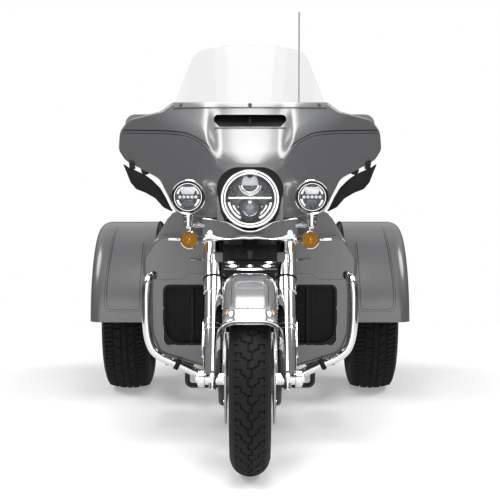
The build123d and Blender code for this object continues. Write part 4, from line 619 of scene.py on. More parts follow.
seal = turned_ring(on_fork(368), FORK_WAY, [(-4, 35.5), (-4, 37.4), (3, 37.8), (4, 36.6), (4, 35.5)])
build("fork_seals", pair(seal), rubber, "steering")
# The amber finish has random facet tones and a faint painted glow, on the reflectors and the unlit signals alike.
amber, feed, place = start_finish("amber_lens")
facet = place.node("ShaderNodeTexVoronoi", {"feature": "F1"}, {"Vector": place, "Scale": 190.0})
feed({
    "Base Color": facet.tint((0.4, 0.19, 0.003), (0.2, 0.07, 0.001)),
    "Roughness": place.grain(50) * 0.06 + 0.08,
    "Coat Weight": 1.0,
    "Emission Strength": 0.12,
    "Emission Color": facet.tint((0.5, 0.25, 0.006), (0.22, 0.08, 0.0)),
    "Normal": place.bump(facet, 0.4, 0.001),
})


def rounded(rows, steps=6):
    """Outline in two coordinates from rows with a corner radius."""
    outline = []
    for index, (u, v, radius) in enumerate(rows):
        here = Vector((u, v))
        before, after = Vector(rows[index - 1][:2]) - here, Vector(rows[(index + 1) % len(rows)][:2]) - here
        before.normalize()
        after.normalize()
        half = acos(max(-1, min(1, before.dot(after)))) / 2
        if radius < 0.01 or half > pi / 2 - 0.01:
            outline.append(tuple(here))
            continue
        centre = here + (before + after).normalized() * (radius / sin(half))
        first, last = here + before * (radius / tan(half)) - centre, here + after * (radius / tan(half)) - centre
        start = atan2(first.y, first.x)
        sweep = (atan2(last.y, last.x) - start + pi) % (2 * pi) - pi
        for step in range(steps + 1):
            angle = start + sweep * step / steps
            outline.append((centre.x + radius * cos(angle), centre.y + radius * sin(angle)))
    return outline


def slab(outline, put, depth, edge=1.0):
    """A plate from an outline: put turns (u, v, height) into a point; the front edge is eased."""
    count = len(outline)
    middle = Vector((sum(u for u, _ in outline) / count, sum(v for _, v in outline) / count))
    points = []
    for height, draw_in in ((0.0, 0.0), (depth - edge, 0.0), (depth - edge * 0.3, edge * 0.3), (depth, edge)):
        for u, v in outline:
            spoke = Vector((u, v)) - middle
            spoke *= max(0.0, 1 - draw_in / max(spoke.length, 1e-6))
            points.append(put(middle.x + spoke.x, middle.y + spoke.y, height))
    return points, ring_faces(4, count)


def oblong(x, z, width, height, corner, steps=6):
    """Rounded outline about a middle."""
    left, right, low, high = x - width / 2, x + width / 2, z - height / 2, z + height / 2
    return rounded([(left, low, corner), (right, low, corner), (right, high, corner), (left, high, corner)], steps)


MARK_TURN = radians(44)
MARK_ALONG, SLEEVE_RADIUS = 484, 35.6
CLAMP_SLOPE = 0.49


def on_sleeve(u, v, w):
    """A place on the left sleeve's outer front, standing out from it."""
    reach = SLEEVE_RADIUS + w
    return on_fork(MARK_ALONG + u, reach * sin(MARK_TURN) + v * cos(MARK_TURN),
                   reach * cos(MARK_TURN) - v * sin(MARK_TURN))


def on_clamp(start):
    """Places an outline on the leaning clamp cover, standing out from a distance."""
    return lambda u, v, w: (u, start - w + (v - 690) * CLAMP_SLOPE, v)


mark = slab(oblong(0, 0, 48, 12, 5), on_sleeve, 2.5, 1.0)
build("fork_reflectors", pair(mark), amber, "steering")
cover = rounded([(-94, 655, 6), (94, 655, 6), (94, 752, 10), (-94, 752, 10)])
chin = rounded([(-60, 700, 8), (60, 700, 8), (60, 742, 12), (-60, 742, 12)])
clamp_form = joined(slab(cover, on_clamp(-826), 6, 2), slab(chin, on_clamp(-832), 8, 4))
build("clamp_cover", clamp_form, rubber, "steering")
CLAMP_STRIPS = [(667, 672, -90, 90), (677, 683.5, -86, -36), (677, 683.5, -13, 13), (677, 683.5, 36, 86),
                (690, 694.5, -88, -48), (690, 694.5, 48, 88)]
strips = []
for low, high, left, right in CLAMP_STRIPS:
    bar_face = [(left, low), (right, low), (right, high), (left, high)]
    strips.append(slab(bar_face, on_clamp(-832), 6, 1.5))
build("clamp_strips", joined(*strips), chrome, "steering")
bolts("clamp_bolts", [((0, -828, 709), (0, -1, 0.2)), ((0, -823, 722), (0, -1, 0.2))], 7, 5, cast_black, "steering")

# Front fender: pressed steel in the body's grey, bolted between the fork legs over the tyre.
# It has a plated lip round its nose, plated rails along its sides, a fine dark line and two amber marks.
grey_paint, feed, place = start_finish("grey_paint")
cloud = place.grain(3)
feed({
    "Base Color": cloud.tint((0.092, 0.093, 0.096), (0.104, 0.105, 0.108)),
    "Roughness": place.grain(60) * 0.06 + 0.32,
    "Coat Weight": 1.0,
    "Coat Roughness": 0.13,
    "Normal": place.bump(place.grain(180), 0.025, 0.0003),
})
coat(grey_paint, "front_fender")
line_black, feed, place = start_finish("line_black")
feed({
    "Base Color": place.grain(20).tint((0.012, 0.012, 0.013), (0.02, 0.02, 0.021)),
    "Roughness": place.grain(60) * 0.06 + 0.3,
    "Coat Weight": 1.0,
})
FENDER_RADIUS = 347
FENDER_HALF = 86
FENDER_CORNER = 46
FENDER_SKIRT = 76


def over_fender(x, radius, degrees):
    """A point over the front wheel, at an angle ahead of its top."""
    angle = radians(degrees)
    return (x, FRONT_AXLE[1] - radius * sin(angle), FRONT_AXLE[2] + radius * cos(angle))


def fender_section(proud):
    """The fender's outer section from its right hem to its left one, stood off by a distance."""
    hem = FENDER_RADIUS - FENDER_SKIRT
    shoulder = FENDER_RADIUS - FENDER_CORNER
    half = [(FENDER_HALF, hem), (FENDER_HALF + proud, hem + 6)]
    for step in range(9):
        angle = pi / 2 * step / 8
        size = FENDER_CORNER + proud
        half.append((FENDER_HALF - FENDER_CORNER + size * cos(angle), shoulder + size * sin(angle)))
    return [(-x, r) for x, r in half] + [(x, r) for x, r in reversed(half)]


def sheet_grid(rows, closed=False):
    """Faces over rows of as many points each."""
    width = len(rows[0])
    faces = []
    for row in range(len(rows) - (0 if closed else 1)):
        for column in range(width - 1):
            a, b = row * width + column, (row + 1) % len(rows) * width + column
            faces.append((a, a + 1, b + 1, b))
    return [spot for row in rows for spot in row], faces


LIP = [(40.8, 0.0), (41.2, 2.2), (44, 2.4), (46.5, 3.0), (48.2, 4.8), (49.2, 7.4), (50.1, 8.6), (50.8, 7), (51, 4),
       (50.5, 0.5), (49, -1.5)]
lip_rows = []
for degrees, proud in LIP:
    lip_rows.append([over_fender(x, r, degrees) for x, r in fender_section(proud)[4:-4]])
LINE_SECTION = [(57, -0.6), (57, 0.35), (60, 0.35), (60, -0.6), (57, -0.6)]
rails, lines = [], []
for sign in (-1, 1):
    rail = [over_fender(sign * (FENDER_HALF + 0.8), 303, 34 - 2 * step) for step in range(61)]
    rails.append(rod(rail, 2.6, 10))
    rows = []
    for step in range(61):
        row = []
        for x, lift in LINE_SECTION:
            rise = sqrt(FENDER_CORNER ** 2 - (x - FENDER_HALF + FENDER_CORNER) ** 2)
            row.append(over_fender(x * sign, FENDER_RADIUS - FENDER_CORNER + rise + lift, 40 - 2 * step))
        rows.append(row)
    lines.append(sheet_grid(rows))
build("fender_lip", joined(sheet_grid(lip_rows), *rails), chrome, "steering", sharp=50)
build("fender_lines", joined(*lines), line_black, "steering")
mark = slab(
    oblong(0, 0, 10, 18, 4),
    lambda u, v, w: over_fender(74 + 0.7 * (u + w), 332.5 + 0.7 * (w - u), 43.4 + v / 6), 4, 1)
build("fender_marks", pair(mark), amber, "steering")

# Fairing: one moulded shell in the body's grey, carried by the fork and open behind for the dash.
# Its nose band leans back over the lamp arch, its wings sweep back, and a slot above feeds air to the screen.
FAIRING_ROWS = [(165, 846, 8), (256, 861, 14), (315.6, 977.7, 50), (443, 1043, 40), (467, 1080, 34), (462, 1146, 55),
                (427, 1187, 50), (310, 1213, 30), (270, 1243, 8)]
FAIRING_MIDDLE = Vector((0, 1040))
FAIRING_BACK_Y = -640
FAIRING_EDGE = 9
FAIRING_STEPS = 60
FAIRING_WALL = 0.005
NOSE_Y, NOSE_HALF, NOSE_BEND = -884, 92, 30
WING_SWEEP = 0.58
BAND_LEAN, BAND_EASE = 0.75, 0.1
TOP_Y, TOP_Z, TOP_LEAN, TOP_BOW = -804, 1141, 0.27, 0.0004


def soft_max(a, b, blend=16):
    """The larger of two, with the crease between them rounded."""
    share = max(blend - abs(a - b), 0) / blend
    return max(a, b) + share * share * blend / 4


def spaced(route, step, closed=False):
    """Points at an even spacing along a route."""
    spots = [Vector(spot) for spot in route]
    if closed:
        spots.append(spots[0])
    lengths = [(after - before).length for before, after in zip(spots, spots[1:])]
    count = max(2, round(sum(lengths) / step))
    rows, index, passed = [], 0, 0.0
    for number in range(count if closed else count + 1):
        target = sum(lengths) * number / count
        while index < len(lengths) - 1 and passed + lengths[index] < target:
            passed += lengths[index]
            index += 1
        rows.append(spots[index].lerp(spots[index + 1], (target - passed) / max(lengths[index], 1e-6)))
    return rows


def curved(route, steps=8):
    """A smooth line through every point of a route."""
    spots = [Vector(spot) for spot in route]
    rows = [spots[0]]
    for index in range(len(spots) - 1):
        b, c = spots[index], spots[index + 1]
        a = spots[index - 1] if index else b * 2 - c
        d = spots[index + 2] if index + 2 < len(spots) else c * 2 - b
        for step in range(1, steps + 1):
            t = step / steps
            bend, swing = a * 2 - b * 5 + c * 4 - d, b * 3 - a - c * 3 + d
            rows.append(((b * 2) + (c - a) * t + bend * t * t + swing * t ** 3) / 2)
    return rows


STRIPE = [(0, 1037), (60, 1037), (94, 1041), (106, 1047), (120, 1063), (135, 1084), (150, 1101), (185, 1122),
          (223, 1138), (290, 1146), (370, 1149), (440, 1151), (480, 1152)]
stripe_line = curved(STRIPE, 12)
RIDGE = [(0, 1037), (60, 1037), (94, 1041), (106, 1047), (120, 1063), (135, 1086), (152, 1110), (186, 1131),
         (219, 1148), (252, 1165), (285, 1182), (320, 1201), (360, 1224), (480, 1294)]
ridge_line = curved(RIDGE, 12)


def ridge_z(side):
    """Height where the face starts to lean back, at a distance from the middle."""
    for before, after in zip(ridge_line, ridge_line[1:]):
        if side <= after.x:
            return before.y + (after.y - before.y) * (side - before.x) / max(after.x - before.x, 1e-6)
    return ridge_line[-1].y


def soft_rise(value, blend):
    """Zero below the start and straight above it, with the bend rounded."""
    return blend * log(1 + exp(value / blend))


def fairing_y(x, z):
    """Where the fairing's face stands at a place across and up."""
    side = abs(x)
    wall = NOSE_Y + WING_SWEEP * soft_rise(side - NOSE_HALF, NOSE_BEND)
    band = wall + (BAND_LEAN - BAND_EASE * min(1, side / 300)) * (z - ridge_z(side))
    top = TOP_Y + TOP_LEAN * (z - TOP_Z) + TOP_BOW * side ** 2
    return soft_max(wall, -soft_max(-band, -top, 40), 26)


def cut(piece, *shapes):
    """Takes shapes away from a piece and keeps the result as its plain mesh."""
    for shape in shapes:
        cutter = placed("cutter", plain_mesh("cutter", shape))
        modifier = piece.modifiers.new("cut", "BOOLEAN")
        modifier.object = cutter
        modifier.solver = "FAST"
        settle(piece)
        bpy.data.objects.remove(cutter)
    smoothed(piece.data)


def ahead_of(x, y, z):
    """Places a flat outline square to the front, standing out towards it."""
    return lambda u, v, w: (x + u, y - w, z + v)


mirrored = [(-x, z, r) for x, z, r in reversed(FAIRING_ROWS)]
edge = spaced(rounded(FAIRING_ROWS + mirrored, 10), 8, True)
fairing_rings = []
for step in range(FAIRING_STEPS - 1, 1, -1):
    ring = [FAIRING_MIDDLE.lerp(spot, 1 - step / FAIRING_STEPS) for spot in edge]
    fairing_rings.append([(x, fairing_y(x, z), z) for x, z in ring])
for inset in (9, 6.8, 4.6, 2.6, 1, 0):
    drop = FAIRING_EDGE - sqrt(FAIRING_EDGE ** 2 - (FAIRING_EDGE - inset) ** 2)
    ring = []
    for spot in edge:
        x, z = FAIRING_MIDDLE.lerp(spot, 1 - inset / (spot - FAIRING_MIDDLE).length)
        ring.append((x, fairing_y(x, z) + drop, z))
    fairing_rings.append(ring)
fairing_rings.append([(x, FAIRING_BACK_Y, z) for x, z in edge])
points, faces = sheet_grid([ring + ring[:1] for ring in fairing_rings])
hub = len(points)
points.append((0, fairing_y(*FAIRING_MIDDLE), FAIRING_MIDDLE.y))
faces += [(hub, index + 1, index) for index in range(len(edge))]
fairing = build("fairing_shell", (points, faces), grey_paint, "steering")
wall = fairing.modifiers.new("wall", "SOLIDIFY")
wall.thickness = FAIRING_WALL
wall.offset = -1
arch = rounded([(-113, 780, 0), (113, 780, 0), (113, 1018.5, 76), (-113, 1018.5, 76)], 12)
slot = rounded([(-102, 1153, 28), (102, 1153, 28), (130, 1183, 16), (117, 1199, 14), (-117, 1199, 14),
                (-130, 1183, 16)], 8)
passage = [(-178, 780), (178, 780), (178, 900), (-178, 900)]
CLEAN_EDGE = 0.01
cut(fairing, slab(arch, ahead_of(0, -700, 0), 240, CLEAN_EDGE), slab(slot, ahead_of(0, -720, 0), 140, CLEAN_EDGE),
    slab(passage, ahead_of(0, -600, 0), 226, CLEAN_EDGE))
cheek = rounded([(113, 940, 2), (113, 836, 2), (86, 836, 2), (97, 862, 12), (105, 900, 30)])
cheeks = pair(slab(cheek, ahead_of(0, -867.5, 0), 5, 1.5))
build("fairing_cheeks", cheeks, grey_paint, "steering")
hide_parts("outer_fairing")


def closed_tube(sections):
    """A closed form through rings of as many points each."""
    points, faces = sheet_grid([ring + ring[:1] for ring in sections])
    width = len(sections[0]) + 1
    last = (len(sections) - 1) * width
    return points, faces + [tuple(range(width - 1)), tuple(range(last, last + width - 1))]


def ray_surface(mesh):
    """A mesh's surface, to send rays at."""
    return BVHTree.FromPolygons([spot.co for spot in mesh.vertices], [side.vertices[:] for side in mesh.polygons])


RUN_UP = 400


def painted_line(piece, route, way, width, lift=0.3, root=0.6):
    """A thin coat line along a route, laid on a piece along one way and rooted a little below its skin."""
    surface = ray_surface(piece.data)
    way = Vector(way).normalized()
    spots = [Vector(spot) for spot in route]
    rows = []
    for index, spot in enumerate(spots):
        ahead = spots[min(index + 1, len(spots) - 1)] - spots[max(index - 1, 0)]
        across = ahead.cross(way).normalized() * (width / 2)
        row = []
        for place in (spot - across, spot + across):
            hit, normal, _, _ = surface.ray_cast((place - way * RUN_UP) / 1000, way)
            if hit is None:
                break
            row.append((hit * 1000, normal if normal.dot(way) < 0 else -normal))
        if len(row) == 2:
            (left, up_left), (right, up_right) = row
            rows.append([tuple(left - up_left * root), tuple(left + up_left * lift),
                         tuple(right + up_right * lift), tuple(right - up_right * root)])
    return closed_tube(rows)


lines = []
for drop, width, inset in ((2, 4.2, 0), (12, 2.4, 8)):
    route = [spot for spot in stripe_line if 100 + inset < spot.x < 458 - inset]
    for sign in (-1, 1):
        level = [(sign * (spot.x + 0.6 * drop * (spot.x < 160)), NOSE_Y, spot.y - drop) for spot in spaced(route, 6)]
        lines.append(painted_line(fairing, level, (0, 1, 0), width))
build("fairing_lines", joined(*lines), line_black, "steering")

# Duct and screen trim: a black moulded mouth in the fairing's slot, with a painted lower lip.
# A painted strip with three dark screws clamps the screen's foot along the fairing's top edge.
black_plastic, feed, place = start_finish("black_plastic")
pebble = place.node("ShaderNodeTexVoronoi", {"feature": "F1"}, {"Vector": place, "Scale": 700.0})
feed({
    "Base Color": place.grain(6).tint((0.006, 0.006, 0.0065), (0.011, 0.011, 0.0115)),
    "Roughness": place.grain(40) * 0.15 + 0.42,
    "Specular IOR Level": 0.2,
    "Normal": place.bump(pebble, 0.12, 0.0004),
})
DUCT_Y, DUCT_Z = -752, 1176.5
mouth_rows = []
for depth in (0, 37):
    mouth_rows.append([(x * 0.99, fairing_y(x, z) + depth, DUCT_Z + (z - DUCT_Z) * 0.97) for x, z in slot + slot[:1]])
mouth = sheet_grid(mouth_rows)
back = (mouth_rows[1][:-1], [tuple(range(len(slot)))])
rib = slab(oblong(0, DUCT_Z, 8, 43, 2), lambda u, v, w: (u, DUCT_Y - w + (v - 1176) * TOP_LEAN, v), 26, 1)
vanes = []
for low in (1166, 1177, 1188):
    vane = [(-124, low), (124, low), (124, low + 1.6), (-124, low + 1.6)]
    vanes.append(slab(vane, lambda u, v, w: (u, DUCT_Y - w + abs(u) * 0.139, v), 12, 0.4))
build("duct_mouth", joined(mouth, back, rib, *vanes), black_plastic, "steering")
lip = [(x, fairing_y(x, 1154) - 1.5, 1154.5) for x in range(-124, 125, 8)]
build("duct_lip", rod(lip, 2.6, 8), grey_paint, "steering")
TRIM_LOW, TRIM_HIGH, TRIM_HALF = 1223, 1243, 266
TRIM_SECTION = [(TRIM_LOW, -1), (TRIM_LOW, 3), (TRIM_LOW + 2, 4.5), (TRIM_HIGH - 3, 4.5), (TRIM_HIGH, 2),
                (TRIM_HIGH, -1)]
stations = [-TRIM_HALF + 2 * TRIM_HALF * step / 40 for step in range(41)]
trim = closed_tube([[(x, fairing_y(x, z) - proud, z) for z, proud in TRIM_SECTION] for x in stations])
build("screen_trim", trim, grey_paint, "steering")
SCREW_Z = 1232
spots = [((x, fairing_y(x, SCREW_Z) - 4, SCREW_Z), (0, -1, TOP_LEAN)) for x in (-238, 0, 238)]
bolts("trim_screws", spots, 5, 2.4, cast_black, "steering", 14)

# Windshield: a sheet of clear acrylic, standing in a channel behind the trim strip.
# Two black moulded deflectors hang on brackets under the fairing's wings and turn air from the rider's legs.
clear, feed, place = start_finish("clear_screen")
feed({
    "Base Color": place.grain(2).tint((0.2, 0.205, 0.21), (0.26, 0.265, 0.27)),
    "Roughness": 0.02,
    "Alpha": place.grain(3) * 0.04 + 0.12,
})
coat(clear, "windshield")
gloss_black, feed, place = start_finish("gloss_black")
feed({
    "Base Color": place.grain(5).tint((0.004, 0.004, 0.0045), (0.008, 0.008, 0.0085)),
    "Roughness": place.grain(30) * 0.06 + 0.14,
    "Specular IOR Level": 0.14,
    "Coat Weight": 0.03,
})
BLADE = [(449, 1032, 2), (435, 999, 30), (422, 965, 20), (402, 941, 20), (368, 928, 30), (334, 908, 30),
         (307, 877, 20), (266, 857, 3), (279, 873, 20), (298, 913, 40), (317, 945, 40), (345, 973, 40),
         (372, 993, 30), (405, 1008, 20), (425, 1016, 6)]
blade = slab(rounded(BLADE), ahead_of(0, -694, 0), 6, 1.2)
bracket = slab(rounded([(404, 1010, 3), (424, 1014, 3), (428, 1044, 3), (408, 1040, 3)]), ahead_of(0, -698, 0), 9, 1)
piece = build("deflector_blades", pair(joined(blade, bracket)), black_plastic, "steering")
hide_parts("air_deflectors")

# Headlamp: a black moulded housing in the fairing's arch, and a plated double ring round the lens.
# Behind clear glass stand a dark faceted bowl, an upper white reflector with a faint painted glow, a cross bar and a
# lower projector.
coat(gloss_black, "headlamp_housing")
HEADLAMP = (0, -868, 912)
BOWL_FACE = (0, -871, 912)
UPPER_LAMP = (0, -872, 962)
PROJECTOR = (0, -872, 879)
TO_FRONT = (0, -1, 0)


def sector(inner, outer, start, end, steps=10):
    """Outline of part of a ring, in degrees."""
    turns = [radians(start + (end - start) * step / steps) for step in range(steps + 1)]
    far = [(outer * cos(turn), outer * sin(turn)) for turn in turns]
    return far + [(inner * cos(turn), inner * sin(turn)) for turn in reversed(turns)]


# A nearly black plated finish for the headlamp's bowl, also used as painted shade on the passing lamps' lower facets.
dark_chrome_and_shade, feed, place = start_finish("dark_chrome_and_shade")
haze = place.grain(30)
feed({
    "Base Color": haze.tint((0.035, 0.036, 0.038), (0.08, 0.081, 0.083)),
    "Metallic": 1.0,
    "Roughness": haze * 0.08 + 0.1,
})
bowl = turned_ring(HEADLAMP, TO_FRONT,
                   [(0, 0.6), (2, 40), (5, 66), (12, 78), (34, 85.4), (34, 86), (-0.4, 86), (-0.4, 0.6)])
facets = []
for sign in (-1, 1):
    for corners in ([(40, 8), (76, 8), (68, 36)], [(44, 14), (64, 42), (50, 62)], [(20, 70), (46, 66), (36, 78)]):
        outline = [(sign * u, v) for u, v in corners]
        facets.append(slab(outline, ahead_of(*BOWL_FACE), 16, 9))
build("headlamp_bowl", joined(bowl, *facets), dark_chrome_and_shade, "steering")
OUTER_RING = [(0, 99), (40, 99), (44, 98.2), (45.6, 97), (46, 93), (45.6, 91.4), (44, 90.4), (0, 90)]
INNER_RING = [(20, 89.4), (42, 89.4), (44, 88.8), (44.6, 87.6), (44, 83.4), (42, 81.8), (34, 80.4), (20, 80)]
ring = joined(turned_ring(HEADLAMP, TO_FRONT, OUTER_RING, 96), turned_ring(HEADLAMP, TO_FRONT, INNER_RING, 96))
groove = turned_ring(HEADLAMP, TO_FRONT, [(20, 90.2), (42.6, 90.2), (42.6, 89.2), (20, 89.2)], 96)
upper = [slab(sector(inner, outer, 188, 352, 24), ahead_of(*UPPER_LAMP), depth, 2)
         for inner, outer, depth in ((28, 34, 22), (37, 40, 16))]
bar = rod([(x, -894, 914) for x in (-74, -72, 0, 72, 74)], [2, 4.4, 4.4, 4.4, 2], 16)
hooks = []
for sign in (-1, 1):
    for inner, outer, start, end in ((58, 65, -20, -62), (69, 77, -10, -66), (46, 51, -30, -48)):
        hook = [(sign * u, v) for u, v in sector(inner, outer, start, end)]
        hooks.append(slab(hook, ahead_of(*BOWL_FACE), 17, 2.5))
headlamp_chrome = build("headlamp_chrome", joined(ring, *upper, bar, *hooks), chrome, "steering")
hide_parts("lamp_bezels")
collar = turned_ring(PROJECTOR, TO_FRONT, [(0, 39), (22, 39), (25, 37), (25, 33), (20, 31.5), (0, 31.5)], 48)
build("headlamp_black", joined(groove, collar), gloss_black, "steering")
# A white finish with random facet tones and a faint painted glow, used on the lamps' reflectors and small lights and
# on the gauge ticks.
glowing_white, feed, place = start_finish("glowing_white")
facet = place.node("ShaderNodeTexVoronoi", {"feature": "F1"}, {"Vector": place, "Scale": 120.0})
feed({
    "Base Color": facet.tint((0.74, 0.75, 0.77), (0.5, 0.51, 0.53)),
    "Roughness": place.grain(30) * 0.1 + 0.12,
    "Coat Weight": 1.0,
    "Emission Color": facet.tint((0.5, 0.52, 0.55), (0.3, 0.31, 0.33)),
    "Emission Strength": 0.1,
})
SHIELD = [(-30, -6, 3), (30, -6, 3), (27, 12, 6), (22, 26, 3), (11, 26, 2), (7, 21, 2), (-7, 21, 2), (-11, 26, 2),
          (-22, 26, 3), (-27, 12, 6)]
shield = slab(rounded(SHIELD), ahead_of(0, -875, 962), 10, 3)
build("headlamp_white", shield, glowing_white, "steering")
lens_glass, feed, place = start_finish("lens_glass")
feed({
    "Base Color": place.grain(30).tint((0.1, 0.11, 0.13), (0.16, 0.17, 0.19)),
    "Metallic": 0.55,
    "Roughness": place.grain(40) * 0.04 + 0.03,
    "Coat Weight": 1.0,
})
dome = turned(PROJECTOR, TO_FRONT, [(2, 32), (18, 31), (24, 25), (28, 16), (29.6, 7), (30, 0.4)], 48)
build("headlamp_projector", dome, lens_glass, "steering")
clear_lens, feed, place = start_finish("clear_lens")
feed({
    "Base Color": place.grain(8).tint((0.75, 0.77, 0.8), (0.82, 0.84, 0.86)),
    "Roughness": 0.02,
    "Alpha": place.grain(8) * 0.02 + 0.03,
})
cover = turned_ring(HEADLAMP, TO_FRONT,
                    [(36, 80), (40, 60), (42.5, 32), (43.4, 0.6), (41.4, 0.6), (40.5, 32), (38, 60), (34, 80)])
headlamp_glass = build("headlamp_glass", cover, clear_lens, "steering")
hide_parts("lamp_lenses")

# Passing lamps and signals: plated buckets on posts at the light bar's ends, one of each on either side.
# A passing lamp has a white upper facet and a dark plated lower one round a row of small lights, painted light above
# and painted shade below on one reflector; a signal has a ringed amber lens.
PASSING = (209, -902, 918)
SIGNAL = (206, -824, 771)
BUCKET = [(-41, 20), (-40, 30), (-34, 46), (-20, 56), (0, 59.6), (8, 60), (12, 59), (13.6, 56.6), (12.6, 54),
          (9, 52.4), (-8, 52), (-20, 44), (-36, 20)]
seat_ring = turned_ring(PASSING, TO_FRONT, [(0.3, 52), (8, 52), (9, 50), (6, 46.5), (0.3, 46)], 56)
plate = turned(PASSING, TO_FRONT, [(0.2, 48), (1, 48), (1.6, 30), (1.6, 0.4)], 48)
build("passing_black", pair(joined(seat_ring, plate)), gloss_black, "steering")
inner_ring = turned_ring(PASSING, TO_FRONT, [(6, 47), (8.6, 46.6), (8.6, 44.8), (6, 44)], 56)
hooks = [slab(sector(33, 41, start, start + 52), ahead_of(*PASSING), 6, 2) for start in (14, 114, 194, 294)]
bucket = turned_ring(PASSING, TO_FRONT, BUCKET, 64)
build("passing_chrome", pair(joined(bucket, inner_ring, *hooks)), chrome, "steering")
# The upper facet is painted light and the lower one painted shade, though both are one reflector.
top_facet = slab(rounded([(-20, 9, 3), (20, 9, 3), (30, 34, 4), (-30, 34, 4)]), ahead_of(*PASSING), 6.5, 2)
low_facet = slab(rounded([(-17, -10, 3), (17, -10, 3), (26, -35, 4), (-26, -35, 4)]), ahead_of(*PASSING), 6.5, 2)
build("passing_white", pair(top_facet), glowing_white, "steering")
bar = slab(oblong(0, 0, 72, 12, 4), ahead_of(*PASSING), 5, 1.5)
build("passing_bar", pair(joined(bar, low_facet)), dark_chrome_and_shade, "steering")
spots = [((sign * (PASSING[0] + step), PASSING[1] - 4.6, PASSING[2]), TO_FRONT)
         for sign in (-1, 1) for step in (-27, -13.5, 0, 13.5, 27)]
bolts("passing_lights", spots, 3.6, 1.4, glowing_white, "steering", 12)
cover = turned_ring(PASSING, TO_FRONT,
                    [(8, 49), (9.6, 36), (10.6, 18), (11, 0.6), (9.8, 0.6), (9.4, 18), (8.4, 36), (7, 49)], 56)
build("passing_glass", pair(cover), clear_lens, "steering")
POST = [(0, 17), (6, 17.5), (8, 20.5), (14, 20.5), (16, 17.5), (30, 17), (33, 14), (38, 14), (40, 16), (46, 16),
        (49, 11), (55, 10), (56, 0.5)]
post = turned((PASSING[0], -889, 866), (0, 0, -1), POST)
SIGNAL_BUCKET = [(0, 6), (1, 14), (6, 21), (18, 27), (34, 29), (40, 29), (42, 31), (47, 31), (48, 28.5), (30, 26),
                 (0, 5)]
bucket = turned_ring(SIGNAL, TO_FRONT, SIGNAL_BUCKET, 48)
stem = rod([(SIGNAL[0], -838, 792), (SIGNAL[0], -838, 806), (SIGNAL[0] - 6, -836, 818), (158, -832, 820)],
           [9, 8, 8, 9])
arm = rod([(160, -832, 822), (192, -858, 826), (PASSING[0], -886, 830)], [9, 9, 11])
build("signal_buckets", pair(joined(post, bucket, stem, arm)), chrome, "steering")
rings = [(40, 28.4), (48, 28)]
for radius in (25, 20.5, 16, 11.5, 7):
    rings += [(57.5 - radius * 0.22, radius + 2.2), (55.6 - radius * 0.22, radius)]
amber_lens = turned(SIGNAL, TO_FRONT, rings + [(57, 0.4)], 48)
piece = build("signal_lenses", pair(amber_lens), amber, "steering", sharp=20)
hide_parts("turn_signals")

# Light bar and skirt: a rounded plated bar across the fork, under a painted panel that closes the fairing's chin.
# A plated strip edges the panel under the headlamp, and two studs fix the bar to the fork.
BAR_HALVES = [(0, 767, 785), (22, 768, 787), (45, 767, 783.5), (72, 766, 778.5), (96, 766, 782), (112, 766, 789),
              (124, 766, 797), (134, 764, 802), (146, 761, 799), (156, 758.5, 786), (163, 757, 770),
              (166, 757.5, 764)]
BAR_Y, BAR_DEEP, BAR_SIDES = -832, 13, 18
half_bar = spaced(curved(BAR_HALVES, 6), 3)
stations = [Vector((-spot.x, spot.y, spot.z)) for spot in reversed(half_bar[1:])] + half_bar
turns = [2 * pi * step / BAR_SIDES for step in range(BAR_SIDES)]
sections = []
for x, low, high in stations:
    middle, rise = (low + high) / 2, (high - low) / 2
    sections.append([(x, BAR_Y - BAR_DEEP * cos(turn), middle + rise * sin(turn)) for turn in turns])
stays = pair(rod([(FORK_X, -820, 778), (FORK_X, -775, 778)], 11))
piece = build("lamp_bar", joined(closed_tube(sections), stays), chrome, "steering")
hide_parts("light_bar")
bolts("bar_studs", [((sign * 137, -844, 795), TO_FRONT) for sign in (-1, 1)], 6, 6, chrome, "steering", 16)
CHIN_LINE = [(-162, 842), (-150, 842), (-84, 833), (-52, 816), (-22, 803), (0, 800), (22, 803), (52, 816), (84, 833),
             (150, 842), (162, 842)]
chin = spaced(curved(CHIN_LINE), 5)
rows = []
for spot in chin:
    reach = -846 - 24 * max(0, 1 - (spot.x / 130) ** 2)
    low = 776 if abs(spot.x) < 140 else 776 + (abs(spot.x) - 140) * 0.4
    row = []
    for step in range(9):
        share = step / 8
        row.append((spot.x, reach + (-834 - reach) * share ** 0.7, spot.y + (low - spot.y) * share))
    rows.append(row)
front = sheet_grid(rows)
back = ([(x, y + 4, z) for x, y, z in front[0]], front[1])
edges = sheet_grid([row[:1] + [(row[0][0], row[0][1] + 4, row[0][2])] for row in rows])
panel = build("skirt_panel", joined(front, back, edges), grey_paint, "steering")
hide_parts("fork_skirt")
route = [(row[0][0], row[0][1] - 1, row[0][2]) for row in rows]
sizes = [2.2 + 2.0 * max(0, 1 - (abs(spot[0]) / 80) ** 2) for spot in route]
build("chin_strip", rod(route, sizes, 12), chrome, "steering")

# Handlebar and controls: a plated bar through the dash, with ribbed rubber grips and plated housings.
# Each end carries a switch box, a fluid reservoir and a lever in front of the grip.
coat(chrome, "handlebar")
GRIP_END = Vector((405, -255, 1008))
GRIP_WAY = (GRIP_END - Vector((365, -430, 1030))).normalized()
GRIP_OUT = GRIP_WAY.cross(Vector((0, 0, 1))).normalized()
GRIP_UP = GRIP_OUT.cross(GRIP_WAY)


def on_grip(along, out=0.0, up=0.0):
    """A point by the left grip: back along the bar from its end, out sideways and up."""
    return tuple(GRIP_END - GRIP_WAY * along + GRIP_OUT * out + GRIP_UP * up)


